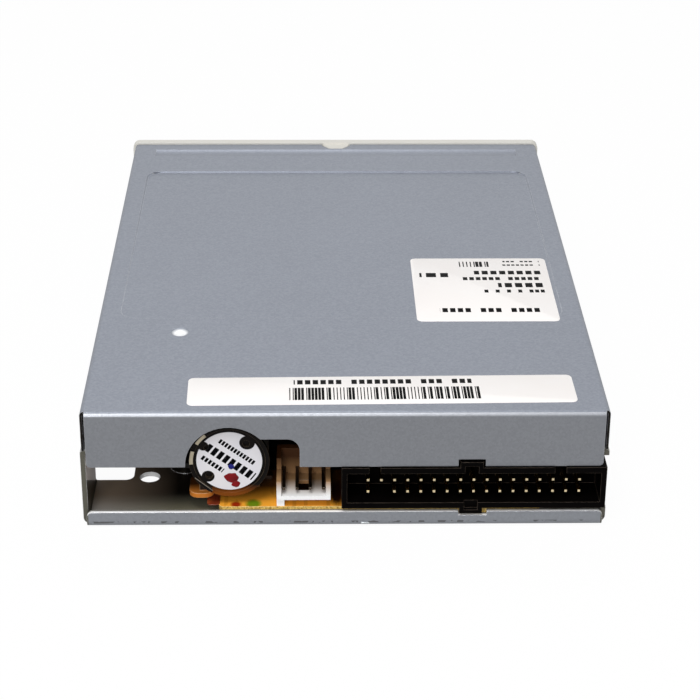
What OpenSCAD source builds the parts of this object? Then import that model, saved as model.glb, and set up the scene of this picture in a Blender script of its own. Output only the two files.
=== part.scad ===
// 3.5 inch floppy disk drive, without a disk in it: an open-ended steel chassis with a sheet
// steel lid, a plastic front bezel with a sprung door, a spindle motor, a stepper that drives
// the heads, and the slide and carrier that load and eject a disk.
// Front at -Y, rear at +Y, base at z = 0, origin at the middle of the base of the whole drive.

/* [Body] */
// Width over the side mounting pads
body_w = 101.6; // [100.8:0.1:106]
// Height of the front bezel
body_h = 25.4; // [25.2:0.1:30]
// Length of the chassis, from the back of the bezel to the rear face
chassis_len = 142; // [140:0.5:156]
// Thickness of the chassis sheet
chassis_t = 1; // [0.8:0.05:1.1]
// How far the mounting pads stand out of the side walls
pad_h = 0.2; // [0.1:0.05:0.4]
// How far the upper side walls step in, so that the cover lies beside them
wall_step = 1; // [0.9:0.05:1.2]
// Height of the lip along the rear edge of the floor
lip_h = 3.4; // [2.5:0.1:3.8]
// Height of the side mounting holes above the base
side_hole_z = 5; // [4.6:0.1:5.4]
// Distance of the front side hole behind the bezel
side_hole_y = 31; // [29:0.5:33]
// Distance between the two side holes of one side
side_hole_gap = 60; // [56:1:64]
// Radius of a tapped side hole
side_hole_r = 1.25; // [1.1:0.05:1.5]

/* [Top cover] */
// Thickness of the cover sheet
cover_t = 0.5; // [0.4:0.05:0.7]
// Step from the top of the bezel down to the cover
cover_drop = 0.4; // [0.2:0.05:0.6]
// Height of the cover's side flanges
cover_side_h = 8.5; // [7:0.25:8.75]
// Height of the cover's rear flange
rear_flange_h = 11.6; // [10:0.2:12.4]
// Depth of the pressed bead and panel in the cover
emboss_depth = 0.35; // [0.2:0.05:0.45]

/* [Bezel] */
// Thickness of the bezel
bezel_t = 3; // [2.8:0.1:4]
// Wall of the bezel's front plate
bezel_wall = 1.7; // [1.4:0.1:2]
// Rounding of the bezel's corners
bezel_r = 1.6; // [1:0.1:2.4]
// Width of the eject button
button_w = 12; // [10:0.5:14]
// Height of the eject button
button_h = 5; // [4.4:0.1:5.4]
// How far the button stands out of the bezel
button_stand = 1; // [0.5:0.1:2]
// Thickness of the door flap
door_t = 1.1; // [0.9:0.1:1.4]

/* [Disk bay] */
// Width of a disk
disk_w = 90; // [88:0.5:90.5]
// Length of a disk
disk_l = 94; // [93:0.5:95]
// Thickness of a disk
disk_t = 3.3; // [3:0.1:3.5]
// Distance from a disk's leading edge to its hub
disk_hub_y = 45.5; // [44.5:0.25:46.5]
// Gap between the bezel and a loaded disk
disk_behind = 0.4; // [0.3:0.1:1]
// Height of the space for a disk inside the carrier
bay_h = 4.4; // [4.2:0.05:4.6]
// Sheet of the disk carrier
carrier_t = 0.6; // [0.5:0.05:0.7]
// Sheet of the eject slide
slide_t = 0.8; // [0.7:0.05:0.9]

/* [Motion] */
// How far the carrier lifts a disk off the spindle
lift = 3.6; // [3.4:0.05:3.7]
// Travel of the eject slide and its button
eject_travel = 6.6; // [6:0.1:7]
// Travel of the head carriage from the outermost to the innermost track
track_travel = 14.8; // [14:0.1:15]
// Radius of the outermost track
track_r = 39.5; // [39:0.1:40]
// Tilt of the upper head arm when the carrier is up
arm_tilt = 10.5; // [10:0.1:10.5]
// Swing of the shutter lever, in degrees
lever_swing = 72; // [66:1:74]
// Length of the shutter lever, from its pivot to its pin
lever_len = 26; // [25:0.2:27]

/* [Spindle motor] */
// Radius of the rotor
rotor_r = 21; // [19:0.5:22]
// Radius of the spindle shaft
shaft_r = 2; // [1.8:0.05:2.1]
// Radius of the hub that carries the disk
hub_r = 12.5; // [12:0.1:13]
// Number of stator poles
poles = 12; // [9:3:12]

/* [Stepper] */
// Distance of the stepper's axis from the middle of the drive
motor_x = 22.2; // [21.5:0.1:23]
// Height of the stepper's axis above the base
motor_z = 13.6; // [13.2:0.1:14]
// Radius of the stepper's case
motor_r = 7.5; // [7:0.1:7.6]
// Length of the stepper's case
motor_len = 14; // [12:0.5:15]
// Radius of the lead screw
screw_r = 1.5; // [1.3:0.05:1.6]

/* [Boards and connectors] */
// Thickness of the main board
board_t = 1.6; // [1.2:0.1:1.8]
// Height of the top of the main board
board_top = 4; // [3.8:0.05:4.2]
// Pin pitch of the data header
pitch = 2.54; // [2.5:0.01:2.56]
// Columns of pins in the data header
pin_columns = 17; // [15:1:17]
// Pin pitch of the power connector
power_pitch = 2.54; // [2.5:0.01:2.6]
// Thickness of a connector pin
pin_t = 0.64; // [0.5:0.02:0.7]

/* [Clearances] */
// Gap between sliding sheet parts
slide_gap = 0.3; // [0.2:0.05:0.4]
// Radial clearance of a turning fit
turn_gap = 0.05; // [0.03:0.01:0.08]
// Radial clearance of a pin in a cam slot
cam_gap = 0.15; // [0.1:0.01:0.2]
// Gap between the cover and the side walls
cover_gap = 0.1; // [0.05:0.01:0.15]

/* [Hidden] */
$fn = 64;
eps = 0.01;

// Planes that the rest is placed from, with y = 0 at the back of the bezel
half_w = body_w / 2;
low_out = half_w - pad_h;
low_in = low_out - chassis_t;
wall_out = low_out - wall_step;
wall_in = wall_out - chassis_t;
cover_out = wall_out + cover_gap + cover_t;
cover_top = body_h - cover_drop;
cover_under = cover_top - cover_t;
bend_r = 0.4;
header_stand = 0.4;
front_y = -bezel_t - button_stand;
rear_y = chassis_len + header_stand;
y_shift = -(front_y + rear_y) / 2;

// How much wider and longer than a standard drive this one is: the bay takes the difference,
// and the connectors keep their size and their distance from the side wall
edge = (body_w - 101.6) / 2;
bay_half = disk_w / 2 + edge;
bay_len = disk_l + chassis_len - 142;

// Disk and carrier, with the carrier up and empty
disk_front = disk_behind;
disk_lead = disk_front + bay_len;
spindle_y = disk_lead - disk_hub_y;
motor_board_t = 1;
motor_board_top = chassis_t + motor_board_t;
rotor_bottom = motor_board_top + 0.3;
rotor_top = rotor_bottom + 4.1;
rotor_plate_t = 0.8;
hub_top = rotor_top + 1.7;
disk_down = hub_top - 0.2;
disk_up = disk_down + lift;
carrier_side = bay_half + 0.4;
carrier_out = carrier_side + carrier_t;
carrier_front = 8.6;
carrier_rear = disk_lead - 1;
carrier_floor = disk_up - carrier_t;
carrier_roof = disk_up + bay_h;
carrier_top = carrier_roof + carrier_t;
lip_w = 4;
pin_y = [spindle_y - 17, spindle_y + 31];
cam_pin_r = 1.25;
cam_pin_z = disk_up + 3.1;
cam_hole_r = cam_pin_r + cam_gap;

// Eject slide, latched to the rear
slide_out = wall_in - slide_gap;
slide_in = slide_out - slide_t;
slide_floor = carrier_top + 0.4;
slide_top = slide_floor + slide_t;
slide_front = carrier_front + eject_travel;
slide_window_y = disk_lead - lever_len - 12.5;
slide_rail_w = 5.8;
slide_rear = disk_lead - 0.5;
slide_skirt = cam_pin_z - lift - cam_hole_r - 1.2;
ledge_top = slide_skirt - 0.1;
ledge_y = [carrier_front + 34, spindle_y + 18, spindle_y + 40];
foot_top = 5.3;
foot_y = [slide_front + 3, slide_front + 9];
spring_x = slide_out - 3.8;
spring_room = cover_under - emboss_depth - slide_top;
spring_z = slide_top + 0.4031 * spring_room;
spring_y = [12.6, 60];
spring_r = 0.23256 * spring_room;
spring_wire = 0.25;
spring_turns = 18;

// Shutter lever, on the carrier
lever_pivot = [-15 - edge, disk_lead + 4.5];
lever_rest = -101;
lever_floor = carrier_top + 0.2;
lever_top = lever_floor + 0.8;
pivot_head_z = lever_top + 2.1;
lever_pin_r = 1.5;
lever_tip_r = 1.5;
latch_r = 6;
latch_turn = 201;
latch_nose_r = 0.8;
latch_gap = 0.8;
latch_y = lever_pivot.y + latch_r + latch_nose_r + latch_gap;
latch_bar_w = 3.3;
latch_x = lever_pivot.x - 1.2;

// Heads, with the carriage at the outermost track
head_y = spindle_y + track_r;
media_z = disk_down + disk_t / 2;
arm_hinge_y = head_y + 31.5;
arm_hinge_z = 13;
arm_half = 5;
arm_floor = media_z + 3.05;
arm_thick = 2.4;
hinge_pin_r = 1;
wing_reach = 18.6;
wing_x = [7.5, 11];
tongue_rear = arm_hinge_y - wing_reach + 1;
rod_x = -11;
rod_z = 5;
rod_r = 1.5;
sleeve_r = 2.2;
sleeve_y = [arm_hinge_y - 20, arm_hinge_y + 3];
clamp_w = 3.2;
rod_y = [sleeve_y[0] - track_travel - clamp_w - 0.6, sleeve_y[1] + clamp_w + 0.5];
needle_r = 0.4;
needle_y = arm_hinge_y - 6.5;
nose_z = [4.6, disk_down - 0.7];
base_z = [4.2, 7];

// Stepper and its bracket
motor_at = motor_x - edge;
motor_rear = chassis_len - 1.8;
motor_front = motor_rear - motor_len - 0.2;
bracket_t = 1;
bracket_z = 4;
bracket_front = disk_lead + 1.5;
bracket_x = [motor_at - 3.7, 36 + edge];
journal_r = 1;
bracket_post = [[32 + edge, bracket_front + 6], [32 + edge, motor_front - 6]];

// Boards
board_rear = chassis_len - chassis_t - 0.1;
board_front = motor_front + 0.8;
board_x = [-47.6 - edge, 24.4 - edge];
wing_board_x = -20;
board_notch = 10;
wing_board_y = disk_lead - 8;
board_post = [[-43 - edge, board_front - 12], [20 - edge, board_front + 3],
              [-43 - edge, wing_board_y + 3]];
post_r = 2.4;
screw_hole_r = 1;

// Data header, along the rear edge
header_x = -24.7 - edge;
header_z = 8.8;
header_len = (pin_columns - 1) * pitch + 10.16;
header_high = 8.9;
header_wall = 1.25;
header_rear = chassis_len + header_stand;
header_deep = 9;
header_back = 1.6;
key_x = header_x + 0.5;
key_w = 4.4;
key_h = 1.2;
key_slot_w = 2.6;
pin_tip = header_rear - 1;
missing_pin = pin_columns - 2;
tail_y = [header_rear - header_deep - 2.6, header_rear - header_deep - 5.1];
row_z = [header_z - pitch / 2, header_z + pitch / 2];
tail_low = board_top - board_t - 0.5;

// Power connector
power_pins = 4;
power_x = 8 - edge;
power_w = 10.4;
power_rear = chassis_len - 0.6;
power_deep = 10.5;
power_floor = board_top + 1.7;
power_floor_t = 0.8;
power_wall = 0.9;
power_pin_z = power_floor + power_floor_t + 1.25;

// Switch plungers that sense a disk: x, y
switch_y = disk_front + 5;
switch_at = [[-41 - edge, switch_y], [-35 - edge, switch_y], [41 + edge, switch_y]];
switch_top = disk_down - 1.3;
plunger_r = 0.9;
plunger_top = disk_down + 1.7;
plunger_low = motor_board_top + 2;
plunger_travel = 1.7;

// Door in the bezel
slot_half = bay_half + 1.4;
slot_z = [disk_up - 0.3, disk_up + 4];
door_half = slot_half - 0.05;
door_y = 2.6;
door_axis_z = slot_z[1] + 1.4;
door_pin_r = 0.8;
door_low = slot_z[0] + 0.15;

// Button and lamp in the bezel
button_x = 31 + edge;
button_top = disk_down - 0.25;
button_low = button_top - button_h;
button_gap = 0.3;
button_rear = 6.4;
lamp_x = -27 - edge;
lamp_z = 5.2;
lamp_size = [4, 2];

// A box between two opposite corners
module bar(a, b) {
  translate(a) cube(b - a);
}

// Round bars along each axis
module bar_x(y, z, r, x) {
  translate([x[0], y, z]) rotate([0, 90, 0]) cylinder(r = r, h = x[1] - x[0]);
}

module bar_y(x, z, r, y) {
  translate([x, y[0], z]) rotate([-90, 0, 0]) cylinder(r = r, h = y[1] - y[0]);
}

module bar_z(x, y, r, z) {
  translate([x, y, z[0]]) cylinder(r = r, h = z[1] - z[0]);
}

// A rectangle with round corners, between two opposite corners
module round_rect(a, b, r) {
  translate([a.x + r, a.y]) square([b.x - a.x - 2 * r, b.y - a.y]);
  translate([a.x, a.y + r]) square([b.x - a.x, b.y - a.y - 2 * r]);
  for (x = [a.x + r, b.x - r], y = [a.y + r, b.y - r])
    translate([x, y]) circle(r);
}

// A flat plate with round corners
module plate(a, b, r, z) {
  translate([0, 0, z[0]]) linear_extrude(z[1] - z[0]) round_rect(a, b, r);
}

// Turns a drawing in x and z into a solid between two y planes
module along_y(y) {
  translate([0, y[1], 0]) rotate([90, 0, 0]) linear_extrude(y[1] - y[0]) children();
}

// Half of a sheet folded into a channel, with a bend at the corner
module channel_section(half, high, t, r_in) {
  r_out = r_in + t;
  difference() {
    union() {
      translate([-half, r_out]) square([2 * half, high - r_out]);
      translate([r_out - half, 0]) square([2 * (half - r_out), r_out]);
      for (s = [-1, 1]) translate([s * (half - r_out), r_out]) circle(r_out);
    }
    translate([t - half, r_out]) square([2 * (half - t), high]);
    translate([r_out - half, t]) square([2 * (half - r_out), r_out]);
    for (s = [-1, 1]) translate([s * (half - r_out), r_out]) circle(r_in);
  }
}

// A slot between two points of a plane at x, cut through the sheet there
module cam_slot(x, from, to, r) {
  run = to - from;
  for (p = [from, to]) bar_x(p.x, p.y, r, x);
  translate([x[0], from.x, from.y]) rotate([atan2(run.y, run.x), 0, 0])
    translate([0, 0, -r]) cube([x[1] - x[0], norm(run), 2 * r]);
}

// Points of a coil about z, and the tube that follows them
function coil_point(r, rise, a) = [r * cos(a), r * sin(a), rise * a / 360];
function coil_path(r, rise, turns) =
  [for (i = [0:8 * turns]) coil_point(r, rise, 45 * i)];

// The least gap between the turns of a coil of wire of radius w
function self_gap(path, w) =
  min([for (i = [0:len(path) - 7], j = [i + 6:len(path) - 1]) norm(path[i] - path[j])]) - 2 * w;

function ring_of(path, i, w) =
  let (a = path[max(i - 1, 0)], b = path[min(i + 1, len(path) - 1)], d = (b - a) / norm(b - a))
  let (side = cross(d, [0, 0, 1]), u = side / norm(side), v = cross(u, d))
  [for (k = [0:5]) path[i] + w * (cos(60 * k) * u + sin(60 * k) * v)];

module wire(path, w) {
  n = len(path);
  rings = [for (i = [0:n - 1]) each ring_of(path, i, w)];
  sides = [for (i = [0:n - 2], k = [0:5])
    let (a = 6 * i + k, b = 6 * i + (k + 1) % 6)
    each [[a, b, b + 6], [a, b + 6, a + 6]]];
  caps = [for (k = [1:4]) each [[0, k + 1, k], [6 * n - 6, 6 * n - 6 + k, 6 * n - 5 + k]]];
  polyhedron(rings, concat(sides, caps));
}

// The small bolt heads used on boards and brackets
module screw(p, seat, head_r, head_h, shank_r, low) {
  difference() {
    union() {
      bar_z(p.x, p.y, head_r, [seat, seat + head_h]);
      bar_z(p.x, p.y, shank_r, [low, seat]);
    }
    for (a = [0, 90])
      translate([p.x, p.y, seat + head_h]) rotate(a) cube([1.5 * head_r, 0.4, 1], center = true);
  }
}

// Folded steel tray: floor, side walls and rear lip
wall_rear = chassis_len - chassis_t - 0.6;
lip_half = low_in + 0.2;
step_z = cover_top - cover_side_h - 0.3;
fold_r = bend_r + chassis_t;
nub_y = [20, spindle_y + 12, chassis_len - 27];
nub_z = cover_top - 5;
nub_r = 1.2;
side_cut_x = 42.1 + edge;
side_boss = 1.7;
clip_y = [4.6, 7.4];
clip_z = [2.6, 6.4];

// Floor and lower walls, and the upper walls that step in above them
module chassis_section() {
  channel_section(low_out, step_z, chassis_t, bend_r);
  for (s = [-1, 1]) {
    a = min(s * wall_in, s * low_out);
    translate([a, step_z - chassis_t]) square([low_out - wall_in, chassis_t]);
    b = min(s * wall_in, s * wall_out);
    translate([b, step_z - chassis_t]) square([chassis_t, cover_under - step_z + chassis_t]);
  }
}

module chassis_sheet() {
  along_y([0, wall_rear]) difference() {
    chassis_section();
    for (s = [-1, 1], p = [[wall_out, cover_under], [low_out, step_z]])
      translate([s * p.x, p.y]) rotate(45) square(1.5 * bend_r, center = true);
  }
  bar([-lip_half, wall_rear - 1, 0], [lip_half, chassis_len - fold_r, chassis_t]);
  intersection() {
    difference() {
      bar_x(chassis_len - fold_r, fold_r, fold_r, [-lip_half, lip_half]);
      bar_x(chassis_len - fold_r, fold_r, bend_r, [-lip_half - 1, lip_half + 1]);
    }
    bar([-lip_half, chassis_len - fold_r, 0], [lip_half, chassis_len, fold_r]);
  }
  along_y([chassis_len - chassis_t, chassis_len]) difference() {
    round_rect([-lip_half, 0], [lip_half, lip_h], 1.2);
    translate([-lip_half - 1, -1]) square([2 * lip_half + 2, 1 + fold_r]);
    translate([key_x - 0.4, header_z - header_high / 2 - key_h - 0.6 + 2]) square([5.5, 4], center = true);
  }
}

module chassis_fittings() {
  for (y = [side_hole_y, side_hole_y + side_hole_gap], s = [-1, 1]) {
    a = min(s * low_in, s * half_w);
    bar_x(y, side_hole_z, 4.2, [a, a + chassis_t + pad_h]);
    b = min(s * low_in, s * (low_in - side_boss));
    bar_x(y, side_hole_z, 2.2, [b, b + side_boss]);
  }
  for (y = nub_y, s = [-1, 1]) {
    a = min(s * wall_in, s * (wall_out + cover_gap + 0.35));
    bar_x(y, nub_z, nub_r, [a, a + chassis_t + cover_gap + 0.35]);
  }
  for (y = ledge_y, s = [-1, 1]) {
    a = min(s * (low_in + 0.5), s * (wall_in - 1.6));
    bar([a, y - 3, ledge_top - 1], [a + low_in - wall_in + 2.1, y + 3, ledge_top]);
  }
  for (s = [-1, 1]) {
    a = min(s * (wall_in + 0.5), s * (spring_x - 1.9));
    bar([a, spring_y[0] - 1, spring_z - 1.9],
        [a + wall_in + 2.4 - spring_x, spring_y[0], spring_z + 1.9]);
  }
  for (p = board_post) bar_z(p.x, p.y, post_r, [0.5, board_top - board_t]);
  for (p = bracket_post) bar_z(p.x, p.y, 3, [0.5, bracket_z]);
}

module chassis() color("#8d959e") difference() {
  union() {
    chassis_sheet();
    chassis_fittings();
  }
  for (y = [side_hole_y, side_hole_y + side_hole_gap])
    bar_x(y, side_hole_z, side_hole_r, [-60, 60]);
  for (y = pin_y)
    cam_slot([-60, 60], [y, cam_pin_z - lift], [y, cam_pin_z], cam_hole_r);
  for (p = concat(board_post, bracket_post)) bar_z(p.x, p.y, screw_hole_r, [-1, 6]);
  bar([-60, clip_y[0], clip_z[0]], [60, clip_y[1], clip_z[1]]);
  bar_z(38.9 + edge, chassis_len - 17.7, 2.05, [-1, 3]);
  plate([side_cut_x, chassis_len - 30], [60, chassis_len - 16.6], 1.7, [-1, 4.6]);
  bar([-60, header_rear - header_deep - 3, lip_h], [1 - wall_in, chassis_len, header_z + 6]);
  bar_z(0, spindle_y, 3.2, [-1, 3]);
  for (s = [-1, 1]) {
    bar_y(s * (38.5 + edge), -2.6, 3, [24, spindle_y + 36]);
    bar_z(s * 26, spindle_y + 20, 1.6, [-1, 3]);
  }
}

// Folded steel lid with a bead, a pressed panel, and a rear flange cut round the connectors
bead_y = 5.9;
bead_half = 44.8 + edge;
bead_wide = 2.1;
bead_r = (bead_wide * bead_wide + emboss_depth * emboss_depth) / (2 * emboss_depth);
panel_half = 45.3 + edge;
panel_y = [19, chassis_len - 42];
panel_rim = 0.6;
panel_tilt = atan((emboss_depth - 0.04) / (panel_y[1] - panel_y[0]));
dimple = [33.1 + edge, chassis_len - 34.9];
dimple_r = (4 + 0.25) / 1;
cover_fold = bend_r + cover_t;
flange_half = wall_in + 0.7;
flange_low = cover_top - rear_flange_h;
motor_cut_r = motor_r + 0.86;

module rear_flange_shape() {
  difference() {
    round_rect([-flange_half, flange_low], [flange_half, cover_top], 0.8);
    translate([-60, cover_top - cover_fold]) square([120, 10]);
    translate([motor_at, motor_z]) circle(motor_cut_r);
    translate([motor_at - 13.5, flange_low - 5]) square([13.5, 8.6]);
    translate([motor_at - 11.1, flange_low - 5]) square([9, 11]);
    translate([motor_at - 11.1, flange_low + 3.6]) circle(2.4);
    translate([key_x - 2.6, flange_low - 1]) square([5.2, 2.5]);
  }
}

// Tab of the bezel that locks into a notch in the front edge of the cover
tab_half = [3.2, 1.6];
tab_y = [0.9, 2.9];
tab_gap = 0.25;

module tab_outline(front, gap) {
  wide = tab_half[0] + gap;
  narrow = tab_half[1] + gap;
  polygon([[-wide, front], [wide, front], [wide, tab_y[0] + gap], [narrow, tab_y[1] + gap],
           [-narrow, tab_y[1] + gap], [-wide, tab_y[0] + gap]]);
}

module cover_sheet() {
  fold_y = chassis_len - cover_fold;
  along_y([0.3, fold_y]) translate([0, cover_top]) rotate(180)
    channel_section(cover_out, cover_side_h, cover_t, bend_r);
  intersection() {
    difference() {
      bar_x(fold_y, cover_top - cover_fold, cover_fold, [-flange_half, flange_half]);
      bar_x(fold_y, cover_top - cover_fold, bend_r, [-60, 60]);
    }
    bar([-60, fold_y, cover_top - cover_fold], [60, chassis_len, cover_top]);
  }
  along_y([chassis_len - cover_t, chassis_len]) rear_flange_shape();
  intersection() {
    bar_x(bead_y, cover_top + bead_r - emboss_depth, bead_r + cover_t, [-bead_half - 0.4, bead_half + 0.4]);
    bar([-60, 0.3, 20], [60, 15, cover_top - 0.1]);
  }
  translate([0, panel_y[0] - cover_t, cover_under - emboss_depth]) rotate([panel_tilt, 0, 0])
    translate([-panel_half - cover_t, 0, 0])
      cube([2 * (panel_half + cover_t), panel_y[1] - panel_y[0], cover_t]);
  intersection() {
    translate([dimple.x, dimple.y, cover_top + dimple_r - 0.5]) sphere(dimple_r + cover_t);
    bar([dimple.x - 10, dimple.y - 10, 20], [dimple.x + 10, dimple.y + 10, cover_top - 0.1]);
  }
}

// Room above the pressed panel, which slopes up to the rear and has sloped sides
module panel_space() {
  low = cover_top - emboss_depth;
  rim = [panel_rim, panel_rim];
  intersection() {
    translate([-60, panel_y[0], low]) rotate([panel_tilt, 0, 0])
      translate([0, -2, 0]) cube([120, panel_y[1] - panel_y[0] + 11, 3]);
    hull() {
      plate([-panel_half, panel_y[0]], [panel_half, panel_y[1]], 3, [low - 0.2, low]);
      plate([-panel_half, panel_y[0]] - rim, [panel_half, panel_y[1]] + rim, 3 + panel_rim,
            [cover_top, cover_top + 0.2]);
    }
  }
}

module top_cover() color("#9aa2ab") difference() {
  cover_sheet();
  bar_x(bead_y, cover_top + bead_r - emboss_depth, bead_r, [-bead_half, bead_half]);
  panel_space();
  translate([dimple.x, dimple.y, cover_top + dimple_r - 0.5]) sphere(dimple_r);
  translate([0, 0, 20]) linear_extrude(10) tab_outline(-1, tab_gap);
  for (y = nub_y) bar_x(y, nub_z, nub_r + 0.1, [-60, 60]);
  for (y = pin_y)
    cam_slot([-60, 60], [y, cam_pin_z - lift], [y, cam_pin_z], cam_hole_r + cover_gap);
}

// Moulded front with the disk slot, a finger hollow, the button opening and the lamp window
ear_x = [slot_half + 0.1, slot_half + 1.9];

module bezel_block() {
  hull() {
    along_y([1 - bezel_t, 0]) round_rect([-half_w, 0], [half_w, body_h], bezel_r, $fn = 32);
    along_y([0.3 - bezel_t, 1 - bezel_t])
      round_rect([0.3 - half_w, 0.3], [half_w - 0.3, body_h - 0.3], bezel_r - 0.2, $fn = 32);
    along_y([-bezel_t, 1 - bezel_t])
      round_rect([1 - half_w, 1], [half_w - 1, body_h - 1], bezel_r - 0.6, $fn = 32);
  }
}

module bezel_hollow() {
  back = bezel_wall - bezel_t;
  difference() {
    bar([1.8 - half_w, back, 1.8], [half_w - 1.8, 1, body_h - 1.8]);
    bar([-slot_half - 1.2, -9, slot_z[0] - 1.2], [slot_half + 1.2, 9, slot_z[1] + 1.2]);
    bar([button_x - button_w / 2 - 1.5, -9, button_low - 1.5],
        [button_x + button_w / 2 + 1.5, 9, button_top + 1.5]);
    bar([lamp_x - 3.2, -9, lamp_z - 2.2], [lamp_x + 3.2, 9, lamp_z + 2.2]);
    for (x = [-26, 0, 26]) bar([x - 0.6, -9, 0], [x + 0.6, 9, body_h]);
  }
}

module front_bezel() color("#d9d3c0") difference() {
  union() {
    difference() {
      bezel_block();
      bezel_hollow();
    }
    for (s = [-1, 1]) {
      a = min(s * ear_x[0], s * ear_x[1]);
      bar([a, -1, door_axis_z - 2], [a + 1.8, door_y + 2, door_axis_z + 2]);
      b = min(s * (low_in - 1.3), s * (low_in - 0.2));
      bar([b, -1.4, clip_z[0] + 0.2], [b + 1.1, clip_y[1] - 0.2, clip_z[1] - 0.2]);
      c = min(s * (low_in - 0.6), s * (low_out - 0.2));
      bar([c, clip_y[0] + 0.2, clip_z[0] + 0.2],
          [c + chassis_t + 0.4, clip_y[1] - 0.2, clip_z[1] - 0.2]);
      bar([s * (half_w - 2) - 1.2, -1.4, clip_z[0] + 0.2], [s * (half_w - 2) + 1.2, -0.2, clip_z[1] - 0.2]);
    }
    translate([0, 0, cover_under - 1.2]) linear_extrude(cover_t + 1.15) tab_outline(-1.5, 0);
  }
  bar([-slot_half, -9, slot_z[0]], [slot_half, 1, slot_z[1]]);
  bar_x(-bezel_t - 39, (slot_z[0] + slot_z[1]) / 2, 40, [-15, 15]);
  bar([button_x - button_w / 2 - button_gap, -9, button_low - button_gap],
      [button_x + button_w / 2 + button_gap, 1, button_top + button_gap]);
  bar([lamp_x - lamp_size.x / 2, -9, lamp_z - lamp_size.y / 2],
      [lamp_x + lamp_size.x / 2, 1, lamp_z + lamp_size.y / 2]);
  bar_x(door_y, door_axis_z, door_pin_r + turn_gap, [-60, 60]);
}

// Door that hangs behind the slot and folds inwards
module door_flap() color("#cfc8b4") {
  bar([-door_half, door_y - door_t / 2, door_low], [door_half, door_y + door_t / 2, door_axis_z - 1.6]);
  difference() {
    bar([-door_half, door_y - door_t / 2, door_axis_z - 1.7], [door_half, door_y + door_t / 2, door_axis_z]);
    bar([door_half - 6, door_y - 2, door_axis_z - 1.36], [door_half - 1.4, door_y + 2, door_axis_z + 2]);
  }
  bar_x(door_y, door_axis_z, 1.3, [-door_half, door_half - 6]);
  bar_x(door_y, door_axis_z, 1.3, [door_half - 1.4, door_half]);
  bar_x(door_y, door_axis_z, door_pin_r, [-ear_x[1], ear_x[1]]);
}

door_wire = 0.18;
door_coil = coil_path(1.12, 0.9, 4);

module door_spring() color("#b9bcc0")
  translate([door_half - 5.6, door_y, door_axis_z]) rotate([0, 90, 0]) wire(door_coil, door_wire);

// Button and the stem that sits on the foot of the slide
module eject_button() color("#cfc8b4") {
  low = [button_x - button_w / 2, button_low];
  high = [button_x + button_w / 2, button_top];
  hull() {
    along_y([front_y + 0.8, button_rear]) round_rect(low, high, 0.7, $fn = 32);
    along_y([front_y, button_rear]) round_rect(low + [0.6, 0.6], high - [0.6, 0.6], 0.5, $fn = 32);
  }
  bar([button_x - 2.5, button_rear - 0.5, foot_top], [button_x + 2.5, foot_y[1], button_top - 0.4]);
}

// Slide: a frame over the carrier with two skirts that hold the inclined cam slots
module eject_slide() color("#a3a8ab") difference() {
  union() {
    bar([-slide_out, slide_front, slide_floor], [slide_out, slide_rear, slide_top]);
    for (s = [-1, 1]) {
      a = min(s * slide_in, s * slide_out);
      bar([a, slide_front, slide_skirt], [a + slide_t, slide_rear, slide_top]);
      bar([s * spring_x - 1.9, spring_y[1], slide_floor],
          [s * spring_x + 1.9, spring_y[1] + 1, spring_z + 1.9]);
    }
    bar([slide_in, foot_y[0], foot_top - slide_t], [slide_out, foot_y[1], slide_top]);
    bar([button_x - 3.5, foot_y[0], foot_top - slide_t], [slide_out, foot_y[1], foot_top]);
    bar([-slide_out, slide_rear - 1, slide_floor],
        [slide_rail_w - slide_out, latch_y + latch_bar_w, slide_top]);
    bar([-slide_out, latch_y, slide_floor], [latch_x, latch_y + latch_bar_w, slide_top]);
  }
  bar([slide_rail_w - slide_out, slide_window_y, slide_floor - 1],
      [slide_out - slide_rail_w, slide_rear + 1, slide_top + 1]);
  plate([-24, slide_front + 8], [24, slide_window_y - 8], 3, [slide_floor - 1, slide_top + 1]);
  for (y = pin_y)
    cam_slot([-60, 60], [y, cam_pin_z], [y + eject_travel, cam_pin_z - lift], cam_hole_r);
}

eject_coil = coil_path(spring_r, (spring_y[1] - spring_y[0] - 0.6) / spring_turns, spring_turns);

module eject_springs() color("#c2c4c6")
  for (s = [0, 1])
    translate([(1 - 2 * s) * spring_x, spring_y[0] + 0.3, spring_z]) rotate([-90, 0, 0]) rotate(180 * s)
      wire(eject_coil, spring_wire);

// Carrier: a channel that takes the disk, with lips under its edges
module lever_slot() {
  translate([lever_pivot.x, lever_pivot.y, carrier_roof - 1]) rotate(lever_rest - lever_swing - 4)
    rotate_extrude(angle = lever_swing + 8)
      translate([lever_len - lever_tip_r - 0.5, 0]) square([2 * lever_tip_r + 1, carrier_t + 2]);
}

module disk_carrier() color("#b4b8bb") difference() {
  union() {
    bar([-carrier_out, carrier_front, carrier_roof], [carrier_out, carrier_rear, carrier_top]);
    for (s = [-1, 1]) {
      a = min(s * carrier_side, s * carrier_out);
      bar([a, carrier_front, carrier_floor], [a + carrier_t, carrier_rear, carrier_top]);
      b = min(s * (carrier_side - lip_w), s * carrier_out);
      bar([b, carrier_front + 4, carrier_floor], [b + lip_w + carrier_t, carrier_rear, disk_up]);
    }
    bar([lever_pivot.x - 6, carrier_rear - 1, carrier_roof],
        [lever_pivot.x + 5, lever_pivot.y + 4, carrier_top]);
    bar([wing_x[0], carrier_rear - 1, carrier_roof], [wing_x[1], tongue_rear, carrier_top]);
    for (x = [-33, 30]) {
      bar([x, carrier_rear - 1, carrier_roof], [x + 8, disk_lead + carrier_t, carrier_top]);
      bar([x, disk_lead, disk_up + 0.5], [x + 8, disk_lead + carrier_t, carrier_top]);
    }
  }
  bar([-6.5, spindle_y + 15, carrier_roof - 1], [wing_x[0], carrier_rear + 1, carrier_top + 1]);
  lever_slot();
  bar_z(lever_pivot.x, lever_pivot.y, lever_pin_r, [carrier_roof - 1, carrier_top + 1]);
  plate([16, spindle_y - 18], [29, spindle_y + 18], 4, [carrier_roof - 1, carrier_top + 1]);
}

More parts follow.
